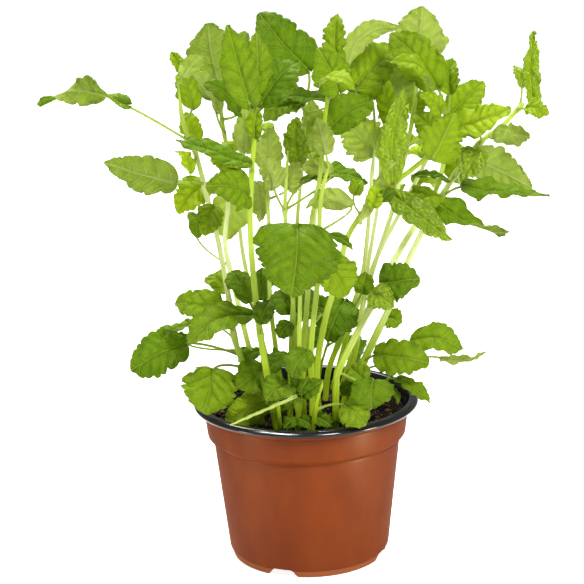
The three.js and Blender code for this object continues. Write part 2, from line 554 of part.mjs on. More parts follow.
// A leaf as one sheet of triangles: its stalk, then its toothed blade, with the thickness at each point.
function leafSheet(leaf, pose) {
  const points = [];
  const thickness = [];
  const add = (point, thick) => {
    points.push(point);
    thickness.push(thick);
    return points.length - 1;
  };
  const { line, ahead } = stalkLine(leaf, pose);
  const last = line.length - 1;
  const spans = line.slice(1).map((point, k) => point.clone().sub(line[k]).normalize());
  spans.push(ahead);
  const headings = line.map((_, k) => spans[Math.max(k - 1, 0)].clone().add(spans[k]).normalize());
  const radius = Math.min(STALK_RADIUS, SMALL_STALK_RADIUS + STALK_GROWTH * leaf.half);
  const roll = THREE.MathUtils.degToRad(pose.roll);
  const upper = leaning(pose, roll);
  let normal = carried(upper, pose.chord, headings[last]);
  const pairs = [];
  for (let k = last; k >= 0; k -= 1) {
    if (k < last) normal = carried(normal, headings[k + 1], headings[k]);
    const side = headings[k].clone().cross(normal).normalize();
    const place = (offset) => add(line[k].clone().addScaledVector(side, offset), 2 * radius);
    pairs[k] = [place(-radius), place(radius)];
  }
  const stalkFaces = pairs.slice(1).flatMap((pair, k) => [
    [pairs[k][0], pairs[k][1], pair[1]],
    [pairs[k][0], pair[1], pair[0]],
  ]);
  const ribs = Math.max(1, Math.ceil(toothCount(leaf) / 2));
  const midrib = Array.from({ length: ribs + 1 }, (_, k) => (k + 1) / (ribs + 1));
  const inner = midrib.map((s) => add(bladePoint(leaf, pose, s, 0), BLADE_THICKNESS));
  const bladeFaces = [[...pairs[last], inner[0]]];
  const edgeCount = 2 * toothCount(leaf);
  for (const side of [1, -1]) {
    const outer = [pairs[last][side > 0 ? 1 : 0]];
    const outerS = [0];
    for (let k = 0; k < edgeCount; k += 1) {
      const s = EDGE_START + EDGE_SPAN * k / (edgeCount - 1);
      const reach = k % 2 === 0 ? 1 : NOTCH_RATIO;
      outer.push(add(bladePoint(leaf, pose, s, side * reach), BLADE_THICKNESS));
      outerS.push(s);
    }
    outer.push(inner[ribs]);
    outerS.push(1);
    let i = 0;
    for (let k = 0; k < outer.length - 1;) {
      const inward = i < ribs && midrib[i + 1] <= outerS[k + 1];
      const next = inward ? inner[i + 1] : outer[k + 1];
      const face = side > 0 ? [inner[i], outer[k], next] : [inner[i], next, outer[k]];
      if (new Set(face).size === 3) bladeFaces.push(face);
      if (inward) i += 1;
      else k += 1;
    }
  }
  return { points, thickness, stalkFaces, bladeFaces };
}

// A closed plate round a sheet of faces, split alike on both sides. grow adds to it all round.
function plate({ points, thickness }, faces, grow) {
  const normals = points.map(() => new THREE.Vector3());
  const outward = points.map(() => new THREE.Vector3());
  const open = new Map();
  for (const face of faces) {
    const [a, b, c] = face.map((corner) => points[corner]);
    const normal = b.clone().sub(a).cross(c.clone().sub(a));
    face.forEach((corner, k) => {
      normals[corner].add(normal);
      const next = face[(k + 1) % 3];
      if (!open.delete(`${next} ${corner}`)) open.set(`${corner} ${next}`, [corner, next]);
    });
  }
  for (const normal of normals) normal.normalize();
  for (const [a, b] of open.values()) {
    const along = points[b].clone().sub(points[a]).normalize();
    for (const corner of [a, b]) outward[corner].add(along.clone().cross(normals[corner]));
  }
  const used = [...new Set(faces.flat())];
  const names = new Map(used.map((corner, k) => [corner, k]));
  const positions = [];
  for (const side of [0.5, -0.5]) {
    for (const corner of used) {
      const place = points[corner].clone()
        .addScaledVector(normals[corner], side * (thickness[corner] + 2 * grow))
        .addScaledVector(outward[corner].normalize(), grow);
      positions.push(...place.toArray());
    }
  }
  const under = used.length;
  const index = [];
  for (const face of faces) {
    const [a, b, c] = face.map((corner) => names.get(corner));
    index.push(a, b, c, under + a, under + c, under + b);
  }
  for (const edge of open.values()) {
    const [a, b] = edge.map((corner) => names.get(corner));
    index.push(b, a, under + a, b, under + a, under + b);
  }
  return meshOf(positions, index);
}

// ---------------------------------------------------------------- stems
const STEM_TIP_RATIO = 0.6;

// A square stem from its root in the soil to its thinner top. grow adds to it all round.
function stemBody(stem, grow) {
  const line = stemLine(stem);
  const taper = (1 - STEM_TIP_RATIO) / (line.length - 1);
  const radii = line.map((_, k) => stem.thick * (1 - taper * k) + grow);
  const root = line[0].clone().setZ(SOIL_TOP - STEM_ROOT_DEPTH - grow);
  return tube([root, ...line], [radii[0], ...radii], STEM_SIDES);
}

// ---------------------------------------------------------------- pot and soil
// A profile of [radius, height] turned about Z.
function lathe(profile, sides) {
  const geometry = new THREE.LatheGeometry(profile.map(([r, z]) => new THREE.Vector2(r, z)), sides);
  geometry.rotateX(Math.PI / 2);
  return geometry;
}

// Points nearer than this many to the millimetre become one.
const WELDS_PER_MM = 1e4;

function welded(geometry) {
  const source = geometry.getAttribute('position');
  const places = new Map();
  const positions = [];
  const names = [];
  for (let k = 0; k < source.count; k += 1) {
    const exact = [source.getX(k), source.getY(k), source.getZ(k)];
    const place = exact.map((value) => Math.round(value * WELDS_PER_MM) / WELDS_PER_MM);
    const key = place.join();
    if (!places.has(key)) {
      places.set(key, positions.length / 3);
      positions.push(...place);
    }
    names.push(places.get(key));
  }
  const faces = [];
  const index = geometry.index.array;
  for (let k = 0; k < index.length; k += 3) {
    const [a, b, c] = [names[index[k]], names[index[k + 1]], names[index[k + 2]]];
    if (a !== b && b !== c && a !== c) faces.push(a, b, c);
  }
  return meshOf(positions, faces);
}

const COLLAR_FOOT = POT_HEIGHT - COLLAR_DEPTH;
const FOOT_DRAFT = 1.4;
const FOOT_ROUND = 0.4;
const STEP_SLOPE = 1.2;
const LEDGE_DROP = 6.4;
const LEDGE_WIDTH = 1.8;
const LEDGE_SLOPE = 0.8;
const LIP_ROUND = 0.8;
const LIP_SIDE = 1.8;
const LIP_BEVEL = 1.4;

// [radius, height] up the outside from the centre of the base, over the rim and down the inside.
const POT_PROFILE = [
  [0, 0],
  [BASE_PAD_RADIUS, 0],
  [BASE_PAD_RADIUS + FOOT_DRAFT, FOOT_HEIGHT],
  [FOOT_RING_INNER_RADIUS - FOOT_DRAFT, FOOT_HEIGHT],
  [FOOT_RING_INNER_RADIUS, 0],
  [FOOT_RADIUS - FOOT_ROUND, 0],
  [FOOT_RADIUS + FOOT_ROUND, FOOT_HEIGHT - STEP_SLOPE],
  [BODY_FOOT_RADIUS, FOOT_HEIGHT + FOOT_ROUND],
  [BODY_TOP_RADIUS, COLLAR_FOOT - STEP_SLOPE],
  [COLLAR_FOOT_RADIUS, COLLAR_FOOT + STEP_SLOPE],
  [COLLAR_TOP_RADIUS, POT_HEIGHT - LEDGE_DROP],
  [COLLAR_TOP_RADIUS + LEDGE_WIDTH, POT_HEIGHT - LEDGE_DROP + LEDGE_SLOPE],
  [COLLAR_TOP_RADIUS + LEDGE_WIDTH, POT_HEIGHT - RIM_DROP],
  [RIM_RADIUS - LIP_ROUND, POT_HEIGHT - RIM_DROP],
  [RIM_RADIUS, POT_HEIGHT - LIP_SIDE],
  [RIM_RADIUS - LIP_BEVEL, POT_HEIGHT],
  [RIM_RADIUS - RIM_WIDTH, POT_HEIGHT],
  [COLLAR_TOP_RADIUS - WALL, POT_HEIGHT - LEDGE_DROP],
  [COLLAR_FOOT_RADIUS - WALL, COLLAR_FOOT + STEP_SLOPE],
  [BODY_TOP_RADIUS - WALL, COLLAR_FOOT - STEP_SLOPE],
  [BODY_FOOT_RADIUS - WALL, FOOT_HEIGHT + WALL],
  [0, FOOT_HEIGHT + WALL],
];

const NOTCH_LEAN = 0.6;
const NOTCH_MARGIN = 4;

// A gap in the foot ring, wider at the ground than at its top.
function footNotch(azimuth) {
  const slope = FOOT_HEIGHT * NOTCH_LEAN;
  const shape = new THREE.Shape([
    new THREE.Vector2(-NOTCH_WIDTH / 2 - slope, -1),
    new THREE.Vector2(NOTCH_WIDTH / 2 + slope, -1),
    new THREE.Vector2(NOTCH_WIDTH / 2, FOOT_HEIGHT),
    new THREE.Vector2(-NOTCH_WIDTH / 2, FOOT_HEIGHT),
  ]);
  const depth = BODY_FOOT_RADIUS - FOOT_RING_INNER_RADIUS + 2 * NOTCH_MARGIN;
  const geometry = new THREE.ExtrudeGeometry(shape, { depth, bevelEnabled: false });
  geometry.rotateX(Math.PI / 2);
  geometry.translate(0, NOTCH_MARGIN - FOOT_RING_INNER_RADIUS, 0);
  geometry.rotateZ(THREE.MathUtils.degToRad(azimuth));
  return solidOf(welded(indexed(geometry)));
}

function indexed(geometry) {
  if (geometry.index) return geometry;
  geometry.setIndex(Array.from({ length: geometry.getAttribute('position').count }, (_, k) => k));
  return geometry;
}

function potSolid() {
  let pot = solidOf(welded(lathe(POT_PROFILE, POT_SIDES)));
  for (let k = 0; k < NOTCH_COUNT; k += 1) {
    pot = pot.subtract(footNotch(FIRST_NOTCH_AZIMUTH + 360 * k / NOTCH_COUNT));
  }
  return pot;
}

// Radii of the rings of points on the top of the soil; the outer one keeps its gap to the collar.
const SOIL_RINGS = [55.6, 38, 16, 0];

// Two crossed waves, about 30 and 13 millimetres long, make the soil uneven.
function soilHeight(x, y) {
  const long = Math.sin(0.21 * x + 1) * Math.cos(0.17 * y);
  const short = Math.sin(0.4 * y - 0.3 * x);
  return SOIL_TOP + SOIL_LUMP * (long + 0.5 * short);
}

function soilSolid() {
  const gap = WALL + SOIL_GAP;
  const profile = [
    [0, SOIL_FLOOR],
    [BODY_FOOT_RADIUS - gap, SOIL_FLOOR],
    [BODY_TOP_RADIUS - gap, COLLAR_FOOT - STEP_SLOPE + SOIL_GAP],
    [COLLAR_FOOT_RADIUS - gap, COLLAR_FOOT + STEP_SLOPE + SOIL_GAP],
    ...SOIL_RINGS.map((radius) => [radius, SOIL_TOP]),
  ];
  const geometry = welded(lathe(profile, POT_SIDES));
  const position = geometry.getAttribute('position');
  for (let k = 0; k < position.count; k += 1) {
    if (position.getZ(k) > SOIL_TOP - 0.01) {
      position.setZ(k, soilHeight(position.getX(k), position.getY(k)));
    }
  }
  return solidOf(geometry);
}

// ---------------------------------------------------------------- growing the plant
const SHIFT_STEP = 3;
const SHIFT_LIMIT = 17;
const TURNS = [0, 20, -20, 40, -40];

// The moves tried for a leaf, nearest first: along the line of sight, then turned about its chord.
function moves() {
  const list = [];
  for (const turn of TURNS) {
    for (let k = 0; k <= SHIFT_LIMIT; k += 1) {
      list.push([k * SHIFT_STEP, turn]);
      if (k > 0) list.push([-k * SHIFT_STEP, turn]);
    }
  }
  return list;
}

function placed(solid, on, kind) {
  return { solid, box: solid.boundingBox(), on, kind };
}

function boxesMeet(a, b) {
  return [0, 1, 2].every((axis) => a.min[axis] <= b.max[axis] && b.min[axis] <= a.max[axis]);
}

function crosses(piece, others) {
  return others.some((other) => {
    if (!boxesMeet(piece.box, other.box)) return false;
    const shared = piece.solid.intersect(other.solid);
    const empty = shared.isEmpty();
    shared.delete();
    return !empty;
  });
}

// The sheet of a leaf at its first move that keeps clear of all else, or null. Where none keeps clear
// of its own stem's leaves too, the first that keeps clear of the other stems is taken.
function fitLeaf(leaf, obstacles) {
  const others = obstacles.filter((other) => other.on !== leaf.on);
  const own = obstacles.filter((other) => other.on === leaf.on && other.kind !== 'stalk');
  const blades = own.filter((other) => other.kind === 'blade');
  const clearOfOwn = (blade, stalk) => !crosses(blade, own) && !crosses(stalk, blades);
  for (const also of [clearOfOwn, () => true]) {
    for (const [shift, turn] of moves()) {
      const sheet = leafSheet(leaf, leafPose(leaf, shift, turn));
      const grown = (faces, by, kind) => placed(solidOf(plate(sheet, faces, by)), leaf.on, kind);
      const root = grown(sheet.stalkFaces.slice(0, 2), 0, 'stalk');
      const blade = grown(sheet.bladeFaces, CLEARANCE, 'blade');
      const stalk = grown(sheet.stalkFaces, CLEARANCE, 'stalk');
      const clear = !crosses(root, [blade]) && !crosses(blade, others) && !crosses(stalk, others);
      const free = clear && also(blade, stalk);
      for (const { solid } of [root, blade, stalk]) solid.delete();
      if (free) return sheet;
    }
  }
  return null;
}

// Each stem with its leaves fused to it, by name.
function growPlant(pot, soil) {
  const obstacles = [placed(pot, 'pot', 'pot'), placed(soil, 'soil', 'soil')];
  const plants = {};
  for (const [name, stem] of Object.entries(STEMS)) {
    plants[name] = solidOf(stemBody(stem, 0));
    obstacles.push(placed(plants[name], name, 'stem'));
  }
  for (const leaf of everyLeaf()) {
    const sheet = fitLeaf(leaf, obstacles);
    if (!sheet) continue;
    const { stalkFaces, bladeFaces } = sheet;
    obstacles.push(placed(solidOf(plate(sheet, bladeFaces, 0)), leaf.on, 'blade'));
    obstacles.push(placed(solidOf(plate(sheet, stalkFaces, 0)), leaf.on, 'stalk'));
    plants[leaf.on] = plants[leaf.on].add(solidOf(plate(sheet, [...stalkFaces, ...bladeFaces], 0)));
  }
  return plants;
}

// ---------------------------------------------------------------- the assembled plant
function piece(name, solid, colour, roughness) {
  const geometry = geometryOf(solid);
  geometry.computeVertexNormals();
  const material = new THREE.MeshStandardMaterial({ color: colour, roughness, metalness: 0 });
  const mesh = new THREE.Mesh(geometry, material);
  mesh.name = name;
  return mesh;
}

const plant = new THREE.Group();
const pot = potSolid();
let soil = soilSolid();
for (const stem of Object.values(STEMS)) soil = soil.subtract(solidOf(stemBody(stem, ROOT_HOLE_GAP)));
const leafy = growPlant(pot, soil);
plant.add(piece('pot', pot, TERRACOTTA, 0.45));
plant.add(piece('soil', soil, SOIL_BROWN, 0.95));
Object.entries(leafy).forEach(([name, solid]) => {
  plant.add(piece(`leafy_stem_${name}`, solid, STEM_GREEN, 0.6));
});

export default plant;
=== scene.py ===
"""A potted mint plant: a round two-colour nursery pot, its soil, and the leafy stems growing in it.

Lengths in the tables are millimetres and rows or columns of the front picture; the meshes are made
in metres, in the part's own frame: +Z up the pot's axis, -Y towards the viewer.
"""
import math
import bpy
import numpy as np
from mathutils import Matrix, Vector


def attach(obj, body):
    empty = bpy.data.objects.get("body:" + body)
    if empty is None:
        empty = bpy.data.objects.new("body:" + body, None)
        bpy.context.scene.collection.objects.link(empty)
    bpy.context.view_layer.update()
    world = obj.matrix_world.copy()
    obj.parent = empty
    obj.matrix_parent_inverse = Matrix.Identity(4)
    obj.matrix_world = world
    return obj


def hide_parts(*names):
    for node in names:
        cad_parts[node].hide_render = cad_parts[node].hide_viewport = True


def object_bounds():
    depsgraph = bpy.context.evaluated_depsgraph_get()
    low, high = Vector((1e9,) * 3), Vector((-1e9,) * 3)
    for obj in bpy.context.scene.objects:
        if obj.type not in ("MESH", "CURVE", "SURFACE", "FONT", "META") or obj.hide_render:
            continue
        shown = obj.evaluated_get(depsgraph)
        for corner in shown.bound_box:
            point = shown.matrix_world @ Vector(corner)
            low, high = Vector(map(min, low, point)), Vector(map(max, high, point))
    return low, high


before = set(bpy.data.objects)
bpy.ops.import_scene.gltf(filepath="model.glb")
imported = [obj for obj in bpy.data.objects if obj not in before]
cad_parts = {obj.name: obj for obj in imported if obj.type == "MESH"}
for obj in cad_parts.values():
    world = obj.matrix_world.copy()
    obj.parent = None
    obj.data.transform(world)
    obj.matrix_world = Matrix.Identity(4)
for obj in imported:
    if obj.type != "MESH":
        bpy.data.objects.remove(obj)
BOX_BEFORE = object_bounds()
MM = 0.001

# ---- the camera of the front picture ----
PICTURE_SIZE = 584
PICTURE_CENTRE = 292
PICTURE_FOCAL = 1768
EYE = np.array([-6.4, -979.0, 410.0])
EYE_PITCH = math.radians(14.5)
EYE_ROLL = math.radians(1.55)
SENSOR_WIDTH = 36

# ---- pot and soil ----
RIM_RADIUS = 65.2
POT_HEIGHT = 94
WALL = 1.2
RIM_WIDTH = 5.2
RIM_DROP = 3.6
RIM_ROUND = 1.6
LIP_CORNER = 0.8
COLLAR_TOP_RADIUS = 59.2
COLLAR_FOOT_RADIUS = 57.6
COLLAR_FOOT = POT_HEIGHT - 21.5
BODY_TOP_RADIUS = 54.2
BODY_FOOT_RADIUS = 46.8
FOOT_HEIGHT = 4.8
FOOT_RADIUS = 45.2
FOOT_RING_INNER_RADIUS = 38
FOOT_LEAN = 0.4
BASE_PAD_RADIUS = 14
BASE_LEAN = 1.4
NOTCH_WIDTH = 12
NOTCH_ROOF_INSET = 0.9
NOTCH_FOOT_OUTSET = 3.4
FIRST_NOTCH_AZIMUTH = -21
LEDGE_DROP = 6.4
LEDGE_WIDTH = 1.8
STEP_SLOPE = 1.2
CREASE = 0.25
WALL_CORNER = 0.9
BOND_GAP = 0.03
SOIL_TOP = 86
SOIL_LUMP = 1.1
SOIL_CRUST = 0.55
CRUMBS = 420
CRUMB_REACH = 54
STEM_ROOT_DEPTH = 15

# ---- stems: where each leaves the soil, half its thickness, and the picture points and depths
# that its centre line runs through ----
STEMS = {
    "west": ((262, 424), 2.6, [(246, 372, -22), (235, 340, -18), (229, 300, -12), (220, 250, -6),
        (209, 205, 0), (196, 155, 4), (183, 122, 8), (178, 82, 12)]),
    "west_back": ((272, 412), 2.4, [(254, 365, 8), (241, 315, 20), (230, 270, 28), (225, 240, 32),
        (228, 205, 36), (228, 160, 42), (222, 120, 46), (219, 88, 50)]),
    "west_front": ((277, 428), 2.9, [(268, 380, -40), (262, 345, -42), (257, 311, -42),
        (252, 260, -40), (250, 215, -38), (252, 169, -36), (254, 135, -36), (250, 108, -36)]),
    "mid_a": ((283, 405), 2.2, [(276, 350, 6), (271, 310, 8), (269, 267, 10), (269, 230, 12),
        (268, 202, 14), (268, 176, 16)]),
    "mid_b": ((290, 418), 2.2, [(291, 355, -14), (293, 300, -10), (288, 250, -4), (285, 213, 0),
        (286, 183, 4), (288, 150, 8)]),
    "mid_c": ((298, 410), 2.1, [(295, 350, 14), (296, 290, 26), (297, 226, 40), (300, 190, 48),
        (303, 150, 54), (306, 92, 60)]),
    "mid_d": ((304, 426), 2.4, [(303, 360, -22), (308, 290, -18), (311, 226, -14), (320, 175, -10),
        (325, 118, -6), (330, 82, -4)]),
    "mid_e": ((313, 430), 2.5, [(311, 351, -38), (317, 287, -36), (319, 240, -34), (321, 198, -32),
        (329, 165, -30)]),
    "front": ((298, 431), 2.1, [(299, 360, -50), (300, 290, -54), (300, 238, -56)]),
    "east_a": ((319, 420), 2.8, [(317, 369, -20), (325, 320, -14), (332, 295, -10), (342, 256, -6),
        (350, 232, -4), (365, 211, -4), (386, 189, -10), (410, 171, -18), (432, 153, -24)]),
    "east_b": ((325, 402), 2.5, [(329, 369, 16), (342, 335, 20), (353, 306, 24), (363, 272, 28),
        (367, 240, 30), (369, 213, 32), (372, 175, 36), (375, 145, 38)]),
    "east_c": ((336, 428), 2.9, [(336, 385, -42), (341, 365, -42), (371, 306, -34), (394, 261, -22),
        (406, 240, -12), (418, 221, -4), (436, 190, 6), (446, 150, 12), (447, 115, 12)]),
    "east_d": ((349, 410), 2.8, [(363, 364, 0), (388, 310, 6), (406, 266, 10), (418, 240, 12),
        (428, 220, 14), (455, 175, 16), (481, 142, 18), (500, 128, 20), (523, 104, 22)]),
    "east_e": ((338, 398), 2.2, [(350, 360, 32), (358, 334, 40), (367, 272, 52), (377, 209, 62),
        (381, 160, 68), (386, 112, 74)]),
    "east_f": ((343, 406), 2.5, [(355, 352, 10), (364, 300, 16), (372, 272, 18), (383, 240, 22),
        (393, 208, 26), (403, 165, 32), (414, 110, 38), (418, 62, 42)]),
    "back_west": ((276, 390), 2.2, [(262, 340, 48), (250, 290, 58), (241, 240, 68), (238, 190, 76),
        (241, 150, 82), (245, 118, 86)]),
    "back_mid": ((304, 385), 2.2, [(308, 300, 58), (314, 225, 72), (321, 165, 82), (325, 118, 88)]),
    "back_east": ((333, 387), 2.4, [(352, 320, 56), (378, 255, 70), (404, 205, 80), (426, 160, 86),
        (440, 122, 90)]),
    "low_west": ((262, 408), 1.8, [(250, 382, 0), (240, 358, 0), (236, 346, 0)]),
    "low_front": ((280, 432), 1.8, [(279, 412, -50), (276, 394, -54)]),
    "low_mid": ((312, 434), 1.8, [(317, 402, -52), (323, 382, -56)]),
    "low_east": ((352, 421), 1.8, [(364, 400, -30), (372, 385, -34)]),
    "low_far_east": ((362, 405), 1.6, [(379, 390, 2), (390, 376, 4)]),
    "low_back": ((318, 387), 1.6, [(321, 366, 46), (328, 342, 50)]),
}

# ---- leaves, stem by stem ----

def leaf(row, base, tip, y, half, roll, twist=0, bow=2, lift=0, fold=8, flat=False, tone=None):
    """One leaf: the picture row its stalk leaves the stem at, picture points of its base and
    tip, the base's depth off the stem and the tip's off the base, and half its width. The blade
    turns by roll degrees about its chord, and by twist more at its tip; it bows towards its
    upper side and lifts across it, both in mm, and folds up along its midrib by fold degrees. A
    flat one lies level. Its tone is 0 or less for the darkest green and 1 for the palest: partly
    the leaf's own green and partly painted light and shade, darker for leaves in shadow and paler
    for leaves the light shines through."""
    return dict(row=row, base=base, tip=tip, y=y, half=half, roll=roll, twist=twist, bow=bow,
                lift=lift, fold=fold, flat=flat, tone=tone)


